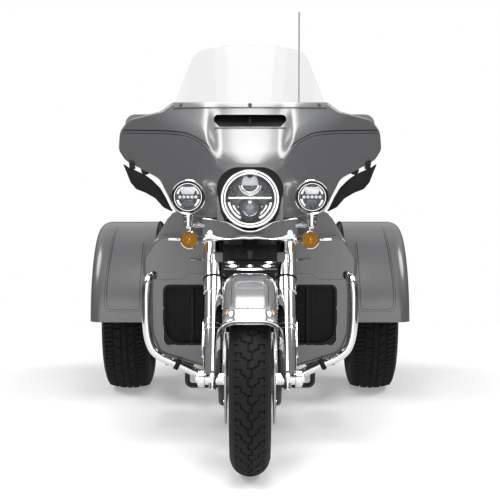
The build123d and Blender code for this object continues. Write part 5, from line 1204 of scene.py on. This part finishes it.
RIB_PITCH = 8
ribs = [(0, 14), (0.5, 18.4)]
for step in range(14):
    ribs += [(start + step * RIB_PITCH, radius) for start, radius in ((3, 18.8), (8, 18.8), (8.8, 17), (10.2, 17))]
grip = turned(on_grip(0), -GRIP_WAY, ribs + [(118, 19), (120, 23), (126, 23), (127.5, 19)])
piece = build("ribbed_grips", pair(grip), rubber, "steering")
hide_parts("hand_controls")
cap = turned(on_grip(0.2), GRIP_WAY, [(0, 17.6), (3, 17.6), (5, 15), (5.6, 0.5)])
box = turned(on_grip(128.5), -GRIP_WAY, [(0, 17), (1, 24), (3, 26), (40, 26), (43, 24), (44, 15)])
perch = turned(on_grip(174), -GRIP_WAY, [(0, 15), (1, 20), (20, 20), (21, 15)])
reservoir = slab(oblong(0, 0, 52, 32, 6), lambda u, v, w: on_grip(176 + u, 26 + v, 14 + w), 30, 3)
LEVER = [(182, 16), (172, 42), (150, 56), (110, 60), (60, 58), (14, 64)]
lever = rod([on_grip(along, out) for along, out in LEVER], [9, 8, 6.5, 6, 6, 7], 12)
ball = turned(on_grip(10, 64.5), -GRIP_WAY, [(-8, 1), (-6, 5.4), (0, 8), (6, 5.4), (8, 1)], 20)
build("control_housings", pair(joined(cap, box, perch, reservoir, lever, ball)), chrome, "steering")
lid = slab(oblong(0, 0, 48, 28, 5), lambda u, v, w: on_grip(176 + u, 26 + v, 43.8 + w), 4, 1.5)
keys = []
for along, up in ((136, 10), (150, 10), (164, 10), (143, -6), (158, -6)):
    keys.append(slab(oblong(0, 0, 10, 8, 2), lambda u, v, w: on_grip(along + u, -24.2 - w, up + v), 4, 1))
build("control_keys", pair(joined(lid, *keys)), black_plastic, "steering")

# Mirrors: moulded shells in the body's grey, screwed to the fairing's back by their stalks.
# Each holds a silvered glass that faces the rider.
coat(grey_paint, "mirrors")
mirror_glass, feed, place = start_finish("mirror_glass")
feed({
    "Base Color": place.grain(4).tint((0.82, 0.84, 0.86), (0.88, 0.9, 0.92)),
    "Metallic": 1.0,
    "Roughness": place.grain(9) * 0.02 + 0.01,
})
glass = slab(oblong(0, 0, 114, 72, 20), lambda u, v, w: (385 + u, -580.4 + w, 1166 + v), 2, 0.8)
build("mirror_glasses", pair(glass), mirror_glass, "steering")

# Dash: a grained black panel that closes the fairing's back, with a hood of gauges over a screen.
# Gauges have plated rings, ticked dials and red needles; a speaker with a pierced grille stands on each side.
coat(black_plastic, "inner_fairing")
HOOD_Y, SCREEN_Y = -606, -624
GAUGE_Z = 1170
SPEAKER = (300, -626, 1078)
sockets, close = node_tree("laid_units", {
    "Size": "NodeSocketVector", "Round": "NodeSocketBool", "Material": "NodeSocketMaterial",
})
points = sockets["Geometry"]
along = points.node("GeometryNodeInputNamedAttribute", {"data_type": "FLOAT_VECTOR"}, {"Name": "along"})
outwards = points.node("GeometryNodeInputNamedAttribute", {"data_type": "FLOAT_VECTOR"}, {"Name": "outwards"})
upright = points.node("FunctionNodeAlignRotationToVector", {"axis": "Z"}, {"Vector": outwards})
turn = points.node("FunctionNodeAlignRotationToVector", {"axis": "X", "pivot_axis": "Z"},
                   {"Rotation": upright, "Vector": along})
block = points.node("GeometryNodeMeshCube", {}, {"Size": (1, 1, 1)})
bead = points.node("GeometryNodeMeshUVSphere", {}, {"Segments": 8, "Rings": 5, "Radius": 0.5})
unit = points.node("GeometryNodeSwitch", {"input_type": "GEOMETRY"},
                   {"Switch": sockets["Round"], "False": block, "True": bead})
laid = {"Points": points, "Instance": unit, "Rotation": turn, "Scale": sockets["Size"]}
LAID_UNITS = close(points.node("GeometryNodeInstanceOnPoints", {}, laid))


def lay(name, spots, size, material, body, beads=False):
    """Small like units: rows of a point, the way each runs and the way it faces, in millimetres."""
    sizes = {"Size": tuple(v / 1000 for v in size), "Round": beads, "Material": material}
    return grow(dotted(name, spots, "along", "outwards"), LAID_UNITS, sizes, body)


def behind(y):
    """Places a flat outline square to the back, standing out towards it."""
    return lambda u, v, w: (u, y + w, v)


dials, rims, ticks, needles = [], [], [], []
for x, radius, lean in ((-62, 46, 40), (62, 46, -30), (-138, 24, 10), (138, 24, -50)):
    centre = (x, HOOD_Y, GAUGE_Z)
    dials.append(turned(centre, TO_BACK, [(0.2, radius), (1.4, radius), (1.4, 0.5)], 48))
    rim = [(0.2, radius), (5, radius), (6.4, radius + 2), (5, radius + 5), (0.2, radius + 6)]
    rims.append(turned_ring(centre, TO_BACK, rim, 48))
    rims.append(turned(centre, TO_BACK, [(1.4, 5), (4, 4.4), (4.6, 0.4)], 20))
    for step in range(21):
        angle = radians(-120 + 12 * step)
        spoke = Vector((sin(angle), 0, cos(angle)))
        ticks.append((tuple(Vector(centre) + Vector((0, 1.6, 0)) + spoke * radius * 0.86), spoke, TO_BACK))
    turn = radians(lean)
    needle = [(-1.4, -6), (1.4, -6), (0.5, radius * 0.8), (-0.5, radius * 0.8)]
    needles.append(slab(needle, lambda u, v, w: (
        x + u * cos(turn) + v * sin(turn), HOOD_Y + 2 + w, GAUGE_Z - u * sin(turn) + v * cos(turn)), 1.2, 0.3))
build("gauge_dials", joined(*dials), gloss_black, "steering")
build("gauge_rims", joined(*rims), chrome, "steering")
# The ticks are white with a faint painted glow.
lay("gauge_ticks", ticks, (5, 1.2, 0.8), glowing_white, "steering")
red_paint, feed, place = start_finish("red_paint")
feed({
    "Base Color": place.grain(60).tint((0.55, 0.02, 0.01), (0.65, 0.03, 0.02)),
    "Roughness": place.grain(40) * 0.1 + 0.35,
})
build("gauge_needles", joined(*needles), red_paint, "steering")
screen_glass, feed, place = start_finish("screen_glass")
feed({
    "Base Color": place.grain(12).tint((0.008, 0.01, 0.014), (0.014, 0.017, 0.022)),
    "Roughness": place.grain(20) * 0.04 + 0.06,
    "Coat Weight": 1.0,
})
on_panel = behind(SCREEN_Y + 0.2)
build("dash_screen", slab(oblong(0, 1048, 168, 96, 6), on_panel, 2.5, 0.8), screen_glass, "steering")
keys = [slab(oblong(x, z, 8, 12, 2), on_panel, 3, 1) for x in (-91, 91) for z in (1008, 1028, 1048, 1068, 1088)]
build("dash_keys", joined(*keys), black_plastic, "steering")
cone_ring = turned_ring(SPEAKER, TO_BACK, [(0.2, 66), (4, 66), (6, 69), (4, 73), (0.2, 73.6)], 56)
build("speaker_rings", pair(cone_ring), chrome, "steering")
net = turned(SPEAKER, TO_BACK, [(0.2, 66), (2, 65), (6, 40), (7.5, 0.5)], 48)
build("speaker_nets", pair(net), black_plastic, "steering")
# The grille's holes are small dark beads: painted shade in the holes.
holes = []
for sign in (-1, 1):
    for row in range(1, 11):
        radius = row * 6
        height = 7.4 - radius * 0.08 if radius < 64 else 2
        middle = (sign * SPEAKER[0], SPEAKER[1] + height, SPEAKER[2])
        for spot, way in ring_of(middle, TO_BACK, radius, 6 * row):
            holes.append((spot, TO_LEFT, way))
lay("speaker_holes", holes, (3.2, 3.2, 1.2), soot_and_hole_shade, "steering", True)

# Fuel tank: pressed steel in the body's grey over the frame's spine, with fine dark lines on its sides.
# A black console with a plated filler cap and rim runs down its middle.
coat(grey_paint, "fuel_tank")


def surface_of(name):
    """A CAD node's surface, to set pieces on."""
    return ray_surface(nodes[name].data)


def top_of(surface, x, y):
    """Height of a surface under a place."""
    hit = surface.ray_cast((x / 1000, y / 1000, 3), (0, 0, -1))[0]
    return hit.z * 1000


tank_top = surface_of("fuel_tank")
CONSOLE = [(-506, 20), (-480, 40), (-420, 50), (-320, 54), (-220, 50), (-140, 42), (-90, 30), (-74, 16)]
CONSOLE_SECTION = [(-1, -2), (-1, 7), (-0.93, 10), (-0.5, 12.5), (0, 13.5), (0.5, 12.5), (0.93, 10), (1, 7), (1, -2)]
UP = (0, 0, 1)
rows = []
for y, half in spaced(curved(CONSOLE), 10):
    row = []
    for share, lift in CONSOLE_SECTION:
        row.append((half * share, y, top_of(tank_top, half * share, y) + lift))
    rows.append(row)
points, faces = sheet_grid(rows)
width = len(CONSOLE_SECTION)
last = (len(rows) - 1) * width
ends = [tuple(range(width)), tuple(range(last, last + width))]
build("tank_console", (points, faces + ends), black_plastic, "chassis", sharp=40)
drop = Vector((0, 0, -3))
rim = [tuple(Vector(row[1]) + drop) for row in rows] + [tuple(Vector(row[7]) + drop) for row in reversed(rows)]
CAP_Y, KEY_DOOR_Y = -330, -180
cap_z = top_of(tank_top, 0, CAP_Y) + 12
cap = turned((0, CAP_Y, cap_z), UP, [(-2, 38), (4, 38), (8, 35), (9, 30), (12, 29), (14, 25), (15, 10), (15.4, 0.5)])
door = turned((0, KEY_DOOR_Y, top_of(tank_top, 0, KEY_DOOR_Y) + 12), UP, [(-2, 20), (3, 20), (4.4, 17), (4.6, 0.5)])
build("console_trim", joined(rod(rim + rim[:1], 2.6, 8), cap, door), chrome, "chassis")
bolts("cap_bolts", ring_of((0, CAP_Y, cap_z + 8.6), UP, 32.5, 8), 2.4, 1.4, chrome, "chassis")
TANK_LINE = [(-548, 756), (-500, 792), (-420, 806), (-330, 808), (-240, 802), (-150, 784), (-86, 756)]
lines = []
for drop, width in ((0, 3.6), (9, 2)):
    level = [(600, spot.x, spot.y - drop) for spot in spaced(curved(TANK_LINE), 8)]
    lines.append(painted_line(nodes["fuel_tank"], level, (-1, 0, 0), width))
build("tank_lines", pair(joined(*lines)), line_black, "chassis")

# Seat: one moulded foam pad under black grained vinyl, with a rider's bucket and a raised passenger's place.
# Its top is sewn in cross channels, and piped where it meets the sides.
leather, feed, place = start_finish("leather")
crease = place.node("ShaderNodeTexVoronoi", {"feature": "DISTANCE_TO_EDGE"}, {"Vector": place, "Scale": 420.0})
feed({
    "Base Color": place.grain(12).tint((0.014, 0.014, 0.015), (0.027, 0.026, 0.026)),
    "Roughness": place.grain(80) * 0.15 + 0.42,
    "Normal": place.bump(crease, 0.25, 0.0006),
})
SEAT_ROWS = [(-46, 768, 78, 690), (0, 752, 112, 668), (60, 728, 158, 646), (140, 716, 172, 644), (240, 730, 174, 644),
             (296, 786, 174, 660), (322, 826, 172, 700), (352, 840, 170, 826), (420, 852, 172, 826),
             (520, 856, 170, 826), (622, 856, 164, 826)]
CHANNELS = [100, 140, 180, 220, 440, 480, 520, 560, 600]
SEWN_HALF, WELT_X = 128, 130
STUFFING, STUFFING_FRAMES = 4, 20


def swell(piece, voxel, reach, shape):
    """Turns a pad's form into a stuffed one: remeshed, blown up a little as cloth, then sewn and smoothed."""
    remesh = piece.modifiers.new("even", "REMESH")
    remesh.mode = "VOXEL"
    remesh.voxel_size = voxel
    settle(piece)
    before = [spot.co.copy() for spot in piece.data.vertices]
    cloth = piece.modifiers.new("stuffing", "CLOTH")
    cloth.settings.use_pressure = True
    cloth.settings.uniform_pressure_force = STUFFING
    cloth.settings.effector_weights.gravity = 0
    for step in range(1, STUFFING_FRAMES + 1):
        bpy.context.scene.frame_set(step)
    settle(piece)
    bpy.context.scene.frame_set(1)
    for spot, start in zip(piece.data.vertices, before):
        move = spot.co - start
        spot.co = start + move * min(1, reach / max(move.length, 1e-9))
        spot.co = shape(spot.co * 1000) / 1000
    soft = piece.modifiers.new("soft", "SUBSURF")
    soft.levels = soft.render_levels = 1
    settle(piece)
    piece.data.shade_smooth()


def seat_row(y):
    """Length, top, half width and bottom of the seat at a place along it."""
    for before, after in zip(SEAT_ROWS, SEAT_ROWS[1:]):
        if y <= after[0]:
            share = max(0, (y - before[0]) / (after[0] - before[0]))
            return [a + (b - a) * share for a, b in zip(before, after)]
    return list(SEAT_ROWS[-1])


def sew_seat(spot):
    """Presses the sewn channels into the seat's top."""
    x, y, z = spot
    if abs(x) < SEWN_HALF and z > seat_row(y)[3] + 8:
        for channel in CHANNELS:
            z -= 5.5 * max(0, 1 - abs(y - channel) / 9) ** 0.7 * min(1, (SEWN_HALF - abs(x)) / 10)
    if abs(abs(x) - WELT_X) < 7 and z > seat_row(y)[3] + 8 and 70 < y < 612:
        z -= 4 * (1 - abs(abs(x) - WELT_X) / 7)
    return Vector((x, y, z))


sections = []
for spot in spaced([(row[0], 0) for row in SEAT_ROWS], 12):
    _, top, half, low = seat_row(spot.x)
    middle, rise = (top + low) / 2, (top - low) / 2
    ring = []
    for step in range(28):
        angle = 2 * pi * step / 28
        u = abs(cos(angle)) ** 0.55 * (1 if cos(angle) > 0 else -1)
        v = abs(sin(angle)) ** 0.5 * (1 if sin(angle) > 0 else -1)
        ring.append((u * (half - 5), spot.x, middle + v * (rise - 4) - (8 * u * u if v > 0 else 0)))
    sections.append(ring)
seat = build("seat_pad", closed_tube(sections), leather, "chassis")
swell(seat, voxel=0.007, reach=0.01, shape=sew_seat)
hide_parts("seat")
seat_top = ray_surface(seat.data)
stitches = []
seams = [(x, channel, TO_LEFT) for channel in CHANNELS for x in range(-116, 117, 8)]
seams += [(x, y, (0, 1, 0.2)) for y in range(76, 610, 8) for x in (-WELT_X, WELT_X)]
for x, y, way in seams:
    hit, normal, _, _ = seat_top.ray_cast((x / 1000, y / 1000, 3), (0, 0, -1))
    if hit is not None:
        stitches.append((tuple(hit * 1000 + normal * 0.4), way, normal))
thread, feed, place = start_finish("thread")
feed({
    "Base Color": place.grain(300).tint((0.03, 0.03, 0.03), (0.07, 0.07, 0.072)),
    "Roughness": place.grain(200) * 0.2 + 0.6,
})
STITCH = (5.6, 1.5, 1.3)
lay("seat_stitches", stitches, STITCH, thread, "chassis", True)
piping = []
for sign in (-1, 1):
    route = []
    for y in range(-30, 612, 16):
        side_x = sign * (seat_row(y)[2] - 12)
        hit = seat_top.ray_cast((side_x / 1000, y / 1000, 3), (0, 0, -1))[0]
        if hit is not None:
            route.append(tuple(hit * 1000))
    piping.append(rod([tuple(spot) for spot in spaced(curved(route, 3), 6)], 3.2, 8))
build("seat_piping", joined(*piping), leather, "chassis")

# Passenger's backrest: a foam pad under the seat's vinyl, screwed to the top case's front.
# It is piped round its edge and sewn in upright channels.
BACK_CHANNELS = (-120, -60, 0, 60, 120)
BACK_Z = 980
sections = []
for step in range(13):
    share = step / 12
    swell_in = 6 + 14 * abs(2 * share - 1) ** 4
    half_x, half_z = 206 - swell_in, 78 - swell_in * 0.7
    ring = []
    for x, z in rounded([(-half_x, -half_z, 34), (half_x, -half_z, 34), (half_x, half_z, 44), (-half_x, half_z, 44)]):
        ring.append((x, 637 + 54 * share, BACK_Z + z))
    sections.append(ring)


def sew_back(spot):
    """Presses the upright channels into the pad's front."""
    x, y, z = spot
    if y < 660:
        for channel in BACK_CHANNELS:
            y += 5 * max(0, 1 - abs(x - channel) / 9) ** 0.7 * min(1, max(0, (62 - abs(z - BACK_Z)) / 12))
    return Vector((x, min(y, 694.4), z))


back = build("backrest_pad", closed_tube(sections), leather, "chassis")
swell(back, voxel=0.006, reach=0.008, shape=sew_back)
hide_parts("backrest")
back_face = ray_surface(back.data)
stitches = []
for x in BACK_CHANNELS:
    for z in range(922, 1040, 8):
        hit, normal, _, _ = back_face.ray_cast((x / 1000, 0.4, z / 1000), TO_BACK)
        if hit is not None:
            stitches.append((tuple(hit * 1000 + normal * 0.4), UP, normal))
lay("backrest_stitches", stitches, STITCH, thread, "chassis", True)

# Side covers: moulded panels in the body's grey over the battery bay, one on each side.
# Each is held by four plated screws near its corners.
coat(grey_paint, "side_covers")
spots = [((sign * 144, y, z), (sign, 0, 0)) for sign in (-1, 1) for z in (462, 580) for y in (104, 264)]
bolts("cover_screws", spots, 6, 2.5, chrome, "chassis", 14)

# Lower fairings: painted leg shields on the engine guard, each with a radiator behind a black grille.
# The grille has fine level wires and one upright rib, and a seam runs round the shield above it.
coat(grey_paint, "lower_fairing_left", "lower_fairing_right")
GRILLE_X, GRILLE_Y, GRILLE_Z = 236, -619.7, 486
outer = oblong(GRILLE_X, GRILLE_Z, 155.2, 219.2, 22, 8)
inner = rounded([(167, 385, 16), (305, 385, 52), (305, 587, 16), (167, 587, 16)], 8)
rows = []
for outline, y in ((outer, GRILLE_Y + 40), (outer, GRILLE_Y - 3), (inner, GRILLE_Y - 4.5), (inner, GRILLE_Y + 30)):
    rows.append([(x, y, z) for x, z in outline + outline[:1]])
bezel = sheet_grid(rows)
core = slab(outer, ahead_of(0, GRILLE_Y + 40, 0), 14, 0.5)
rib = slab(oblong(209, GRILLE_Z, 10, 212, 2), ahead_of(0, GRILLE_Y + 26, 0), 28, 2)
piece = build("radiator_frames", pair(joined(bezel, core, rib)), black_plastic, "chassis")
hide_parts("radiators")
wires = [((sign * GRILLE_X, GRILLE_Y + 20, 390 + 6.5 * step), TO_LEFT, TO_FRONT)
         for sign in (-1, 1) for step in range(31)]
lay("radiator_wires", wires, (146, 2.4, 8), black_plastic, "chassis")
fins = [((sign * (172 + 8 * step), GRILLE_Y + 23, GRILLE_Z), UP, TO_FRONT)
        for sign in (-1, 1) for step in range(17)]
lay("radiator_fins", fins, (204, 1.6, 5), frame_black, "chassis")
SEAM = [(140, 637), (222, 636), (246, 615), (362, 614)]
seams = []
for side, sign in SIDES:
    level = [(sign * spot.x, -900, spot.y) for spot in spaced(SEAM, 6)]
    seams.append(painted_line(nodes[f"lower_fairing_{side}"], level, TO_BACK, width=2.2, lift=0.1))
build("shield_seams", joined(*seams), line_black, "chassis")
tab = slab(rounded([(247, 754, 3), (296, 756, 3), (296, 765, 3), (247, 763, 3)]), ahead_of(0, -625, 0), 10, 3)
lever = rod([(170, -629, 686), (176, -634, 686), (206, -636, 687), (214, -636, 687), (216, -636, 687)],
            [3, 3, 3, 5.5, 3])
build("vent_tabs", pair(joined(tab, lever)), chrome, "chassis")

# Engine guard: one bent and plated steel tube round each leg shield, bolted to the frame at both ends.
# A black rubber clamp sits on its lower run.
GUARD = [(96, -588, 612), (250, -574, 645), (314, -564, 655), (346, -600, 643), (366, -640, 612), (372, -646, 568),
         (373, -646, 506), (371, -646, 446), (364, -646, 399), (349, -646, 362), (322, -646, 337), (286, -644, 320),
         (242, -640, 300), (194, -637, 278), (178, -634, 271), (104, -584, 248)]
piece = build("guard_tubes", pair(rod(spaced(curved(GUARD), 8), 16, 20)), chrome, "chassis")
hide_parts("engine_guard")
CLAMP_RING = [(-9, 16.2), (-8, 19.5), (-4, 20.5), (4, 20.5), (8, 19.5), (9, 16.2)]
clamp = turned((262, -642, 309), (-170, 10, -80), CLAMP_RING, 32)
build("guard_clamps", pair(clamp), rubber, "chassis")

# Footboards: cast frames in wrinkle black on the engine's sides, for the rider and the passenger.
# Each has a ribbed black rubber tread, pressed into its top.
coat(cast_black, "footboards")
BOARD_RIM, RIB_STEP = 8, 12
board = surface_of("footboards")
treads, ribs = [], []
for x, y, length, width in ((272, -170, 320, 118), (268, 168, 190, 100)):
    top = top_of(board, x, y)
    shape = oblong(x, y, width - 2 * BOARD_RIM, length - 2 * BOARD_RIM, 22)
    treads.append(slab(shape, lambda u, v, w: (u, v, top - 0.2 + w), 4, 1.5))
    for sign in (-1, 1):
        for step in range(int((length - 44) / RIB_STEP)):
            ribs.append(((sign * x, y - length / 2 + 28 + RIB_STEP * step, top + 5), TO_LEFT, UP))
build("board_treads", pair(joined(*treads)), rubber, "chassis")
lay("board_ribs", ribs, (78, 5, 3), rubber, "chassis")

# Rear fenders and trunk: painted shells over the wheels and a painted trunk between them.
# A rubber welt lies in each seam, and a fine dark double line runs round each fender's front.
coat(grey_paint, "rear_fender_left", "rear_fender_right", "trunk_body", "rear_valance")
FRONT_LOOP = [(597, 752), (606, 647), (615, 537), (616, 450), (610, 422), (594, 411), (490, 411), (477, 422),
              (474, 450), (474, 522), (470, 690)]
LOOP_MIDDLE = 543
SEAM_X, SEAM_RADIUS = 415, 444
lines, welts = [], []
for side, sign in SIDES:
    for out, width in ((0, 3.8), (9, 2.2)):
        loop = []
        for spot in spaced(curved(FRONT_LOOP), 6):
            loop.append((sign * (spot.x + (out if spot.x > LOOP_MIDDLE else -out)), 200, spot.y - out))
        lines.append(painted_line(nodes[f"rear_fender_{side}"], loop, TO_BACK, width))
    welt = []
    for turn in (radians(32 + 4 * step) for step in range(30)):
        welt.append((sign * SEAM_X, REAR_AXLE[1] - SEAM_RADIUS * cos(turn), REAR_AXLE[2] + SEAM_RADIUS * sin(turn)))
    welts.append(rod(welt, 4.5, 12))
build("rear_fender_lines", joined(*lines), line_black, "chassis")
build("fender_welts", joined(*welts), rubber, "chassis")
slots = [slab(oblong(x, 388, 104, 20, 6), behind(1284), 3.5, 1) for x in (-130, 0, 130)]
build("valance_vents", joined(*slots), black_plastic, "chassis")

# Trunk door: a painted drop-down panel with a plated handle, a plated strip and a blank plate on a black holder.
# It hinges at its bottom edge; the handle and the holder are screwed through the panel.
coat(grey_paint, "trunk_door")
DOOR_LEAN = radians(15)


def on_door(u, v, w):
    """A place on the leaning door, standing out from its face."""
    return (u, 1312.2 - (v - 450) * tan(DOOR_LEAN) + w * cos(DOOR_LEAN), v + w * sin(DOOR_LEAN))


def off_door(lift):
    """Places an outline at a lift off the door's face."""
    return lambda u, v, w: on_door(u, v, w + lift)


HANDLE = [(-62, 2), (-60, 12), (-52, 17), (52, 17), (60, 12), (62, 2)]
handle = rod([on_door(x, 734, lift) for x, lift in HANDLE], [6, 7, 7.5, 7.5, 7, 6], 16)
strip = rod([on_door(x, 522, 1) for x in range(-290, 291, 10)], 4, 12)
hood = slab(oblong(0, 690, 96, 16, 6), off_door(3), 20, 5)
base = slab(oblong(0, 734, 170, 38, 16), on_door, 4, 2)
build("door_chrome", joined(base, handle, strip, hood), chrome, "trunk_door")
build("plate_holder", slab(oblong(0, 616, 226, 132, 10), on_door, 6, 2), black_plastic, "trunk_door")
build("blank_plate", slab(oblong(0, 612, 200, 104, 8), off_door(6), 2.5, 1), silver_cast, "trunk_door")
door_way = (0, cos(DOOR_LEAN), sin(DOOR_LEAN))
spots = [(on_door(x, z, 8), door_way) for x in (-84, 84) for z in (572, 652)]
bolts("plate_screws", spots, 5, 3, chrome, "trunk_door")

# Tail lamps: ribbed red lenses in plated bezels on the fender tails, each with a round amber signal above.
# The lamps plug into the tails; red reflectors are stuck on the valance.
red_lens, feed, place = start_finish("red_lens")
facet = place.node("ShaderNodeTexVoronoi", {"feature": "F1"}, {"Vector": place, "Scale": 150.0})
feed({
    "Base Color": facet.tint((0.42, 0.006, 0.006), (0.25, 0.002, 0.002)),
    "Roughness": place.grain(60) * 0.05 + 0.08,
    "Coat Weight": 1.0,
    "Normal": place.bump(facet, 0.4, 0.001),
})
TAIL_X, TAIL_Z = 560, 500
frame_line = oblong(TAIL_X, TAIL_Z, 98, 106, 12)
bezel = rod([(x, 1330, z) for x, z in frame_line + frame_line[:1]], 5, 12)
lamp_face = slab(oblong(TAIL_X, TAIL_Z, 96, 104, 11), behind(1324), 7, 2)
ribs = [slab(oblong(TAIL_X, 462 + 19 * step, 82, 9, 4), behind(1330), 4.6, 2) for step in range(5)]
piece = build("tail_lenses", pair(joined(lamp_face, *ribs)), red_lens, "chassis")
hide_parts("tail_lamps")
build("valance_marks", pair(slab(oblong(330, 392, 92, 26, 8), behind(1285), 5, 2)), red_lens, "chassis")
hit, normal, _, _ = surface_of("rear_fender_left").ray_cast((0.56, 3, 0.6), (0, -1, 0))
seat_spot, out = hit * 1000, normal if normal.y > 0 else -normal
ring = turned_ring(seat_spot, out, [(-6, 36), (6, 36), (10, 34), (10, 30), (-6, 30)], 40)
lens = turned(seat_spot, out, [(-4, 30), (7, 30), (11, 24), (9.6, 22), (12.5, 15), (11.4, 13), (13.6, 6),
                               (13.6, 0.4)], 40)
build("rear_signals", pair(lens), amber, "chassis", sharp=20)
build("tail_bezels", pair(joined(bezel, ring)), chrome, "chassis")

# Top case: two painted shells with a rubber seal between them, hinged on the right and latched on the left.
# The latches and the plated strip are screwed to the shells; a red reflector lies across the back.
coat(grey_paint, "top_case_base", "top_case_lid")
CASE_ROUND = oblong(0, 930, 604, 470, 70, 10)
LATCH_YS = (820, 1040)
build("case_seal", rod([(x, y, 1054) for x, y in CASE_ROUND + CASE_ROUND[:1]], 3.5, 10), rubber, "chassis")
build("case_strip", rod([(x, y, 1078) for x, y in CASE_ROUND + CASE_ROUND[:1]], 3, 10), chrome, "top_case_lid")


def on_left(u, v, w):
    """A place on the case's left wall."""
    return (301.5 + w, u, v)


LATCH = [(1018, 5), (1024, 13), (1044, 13), (1050, 6)]
latches = []
for y in LATCH_YS:
    latches += [slab(oblong(y, 1030, 44, 40, 8), on_left, 6, 2),
                rod([on_left(y, z, lift) for z, lift in LATCH], 6, 12)]
lock = turned((0, 1164, 1026), TO_BACK, [(0, 15), (4, 15), (6, 13), (6, 8), (3, 7), (3, 0.5)], 32)
back_line = oblong(0, 946, 330, 44, 14)
frame_rod = rod([(x, 1165, z) for x, z in back_line + back_line[:1]], 4, 10)
build("case_latches", joined(lock, frame_rod, *latches), chrome, "chassis")
hooks = [slab(oblong(y, 1074, 28, 22, 6), on_left, 7, 2) for y in LATCH_YS]
build("case_hooks", joined(*hooks), chrome, "top_case_lid")
build("case_reflector", slab(back_line, behind(1164), 4, 1.5), red_lens, "chassis")

# Antenna: a thin black whip with a plated ferrule and tip.
# It stands in a ribbed rubber boot, screwed to the trunk's top.
coat(gloss_black, "antenna")
MAST_X, MAST_Y = 245, 1184
BOOT = [(0, 25), (5, 25), (8, 17), (20, 14.5), (23, 16), (27, 14), (38, 13), (41, 14.6), (45, 12.8), (56, 12.2),
        (59, 13.6), (63, 12), (72, 11.6), (75, 7), (76, 3)]
build("antenna_boot", turned((MAST_X, MAST_Y, 819), UP, BOOT, 32), rubber, "chassis")
ferrule = turned((MAST_X, MAST_Y, 893), UP, [(0, 6), (10, 6), (12, 4.6), (26, 4.2), (28, 2.6)], 24)
tip = turned((MAST_X, MAST_Y, 1785), UP, [(0, 2.6), (2, 4.2), (6, 4.2), (8.6, 1)], 20)
build("antenna_ferrule", joined(ferrule, tip), chrome, "chassis")

# Studio: a white seamless floor under an even sky, dark low down so that plated parts read.
# Two long soft lights hang over the middle, and soft glows stand behind, in front and on both sides.
# The camera stands square to the nose, as the photographer did.
FLOOR_HALF = 3.0
FLOOR_TONE, FLOOR_LIFT = 0.38, 0.3
corners = [(x * FLOOR_HALF, y * FLOOR_HALF, 0) for x, y in ((-1, -1), (1, -1), (1, 1), (-1, 1))]
floor_mesh = bpy.data.meshes.new("floor")
floor_mesh.from_pydata(corners, [], [(0, 1, 2, 3)])
floor = placed("floor", floor_mesh)
floor_white, feed, place = start_finish("floor_white")
seen = place.node("ShaderNodeLightPath", {}, {}, 0)
feed({
    "Base Color": place.grain(0.4) * 0.02 + (seen * FLOOR_LIFT + FLOOR_TONE),
    "Roughness": 0.7,
    "Emission Color": place.grain(0.4).tint((0.96, 0.96, 0.96), (1.0, 1.0, 1.0)),
    "Emission Strength": 0.3,
})
floor_mesh.materials.append(floor_white)

world = bpy.data.worlds.new("studio")
bpy.context.scene.world = world
world.use_nodes = True
tree = world.node_tree
sky = Signal(tree.nodes.new("ShaderNodeTexCoord").outputs["Generated"])
height = sky.node("ShaderNodeSeparateXYZ", {}, {"Vector": sky}, 2)
SKY_STOPS = [(0.0, 0.1), (0.46, 0.1), (0.5, 0.05), (0.56, 0.1), (0.63, 0.2), (1.0, 0.24)]
tone = height.node("ShaderNodeValToRGB", {"stops": SKY_STOPS}, {"Fac": height * 0.5 + 0.5})
GLOWS = [((0, 0.75, 0.66), (0.6, 1, 1), 0.8, 0.93, 0.3), ((0, -1, 0.1), (0.75, 1, 1), 0.86, 0.98, 1.65),
         ((0.66, 0, 0.75), (1, 1, 1), 0.94, 0.985, 6.5), ((-0.66, 0, 0.75), (1, 1, 1), 0.94, 0.985, 6.5)]
for centre, squeeze, start, full, power in GLOWS:
    drawn = sky.node("ShaderNodeVectorMath", {"operation": "MULTIPLY"}, {0: sky, 1: squeeze})
    drawn = sky.node("ShaderNodeVectorMath", {"operation": "NORMALIZE"}, {0: drawn})
    way = Vector(centre).normalized()
    facing = sky.node("ShaderNodeVectorMath", {"operation": "DOT_PRODUCT"}, {0: drawn, 1: way}, 1)
    fade = {0: facing, 1: start, 2: full, 3: 0.0, 4: 1.0}
    share = sky.node("ShaderNodeMapRange", {"interpolation_type": "SMOOTHSTEP"}, fade)
    tone = share * power + tone
seen = sky.node("ShaderNodeLightPath", {}, {}, 0)
mixed = sky.node("ShaderNodeMix", {"data_type": "RGBA"}, {0: seen, 6: tone, 7: (1, 1, 1, 1)}, 2)
tree.links.new(mixed.socket, tree.nodes["Background"].inputs["Color"])

LIGHTS = [("strip", (0.0, -1.95, 2.75), 0.7, 2.9, 42.0), ("panel", (0.0, -1.95, 2.8), 1.1, 2.9, 42.0)]
for name, spot, width, length, power in LIGHTS:
    light = bpy.data.lights.new(name, "AREA")
    light.shape = "RECTANGLE"
    light.size, light.size_y, light.energy = width, length, power
    lamp = placed(name, light)
    lamp.location = spot
    lamp.visible_camera = False

CAMERA_SPOT = (0.0, -5.125, 1.012)
CAMERA_DIP = radians(3.7)
PHOTO_FOCAL = 1252 / 500
SENSOR = 36
lens = bpy.data.cameras.new("photo_view")
lens.sensor_width = SENSOR
lens.lens = SENSOR * PHOTO_FOCAL
camera = placed("photo_view", lens)
camera.location = CAMERA_SPOT
camera.rotation_euler = (pi / 2 - CAMERA_DIP, 0, 0)
bpy.context.scene.camera = camera
bpy.context.scene.view_settings.view_transform = "Standard"
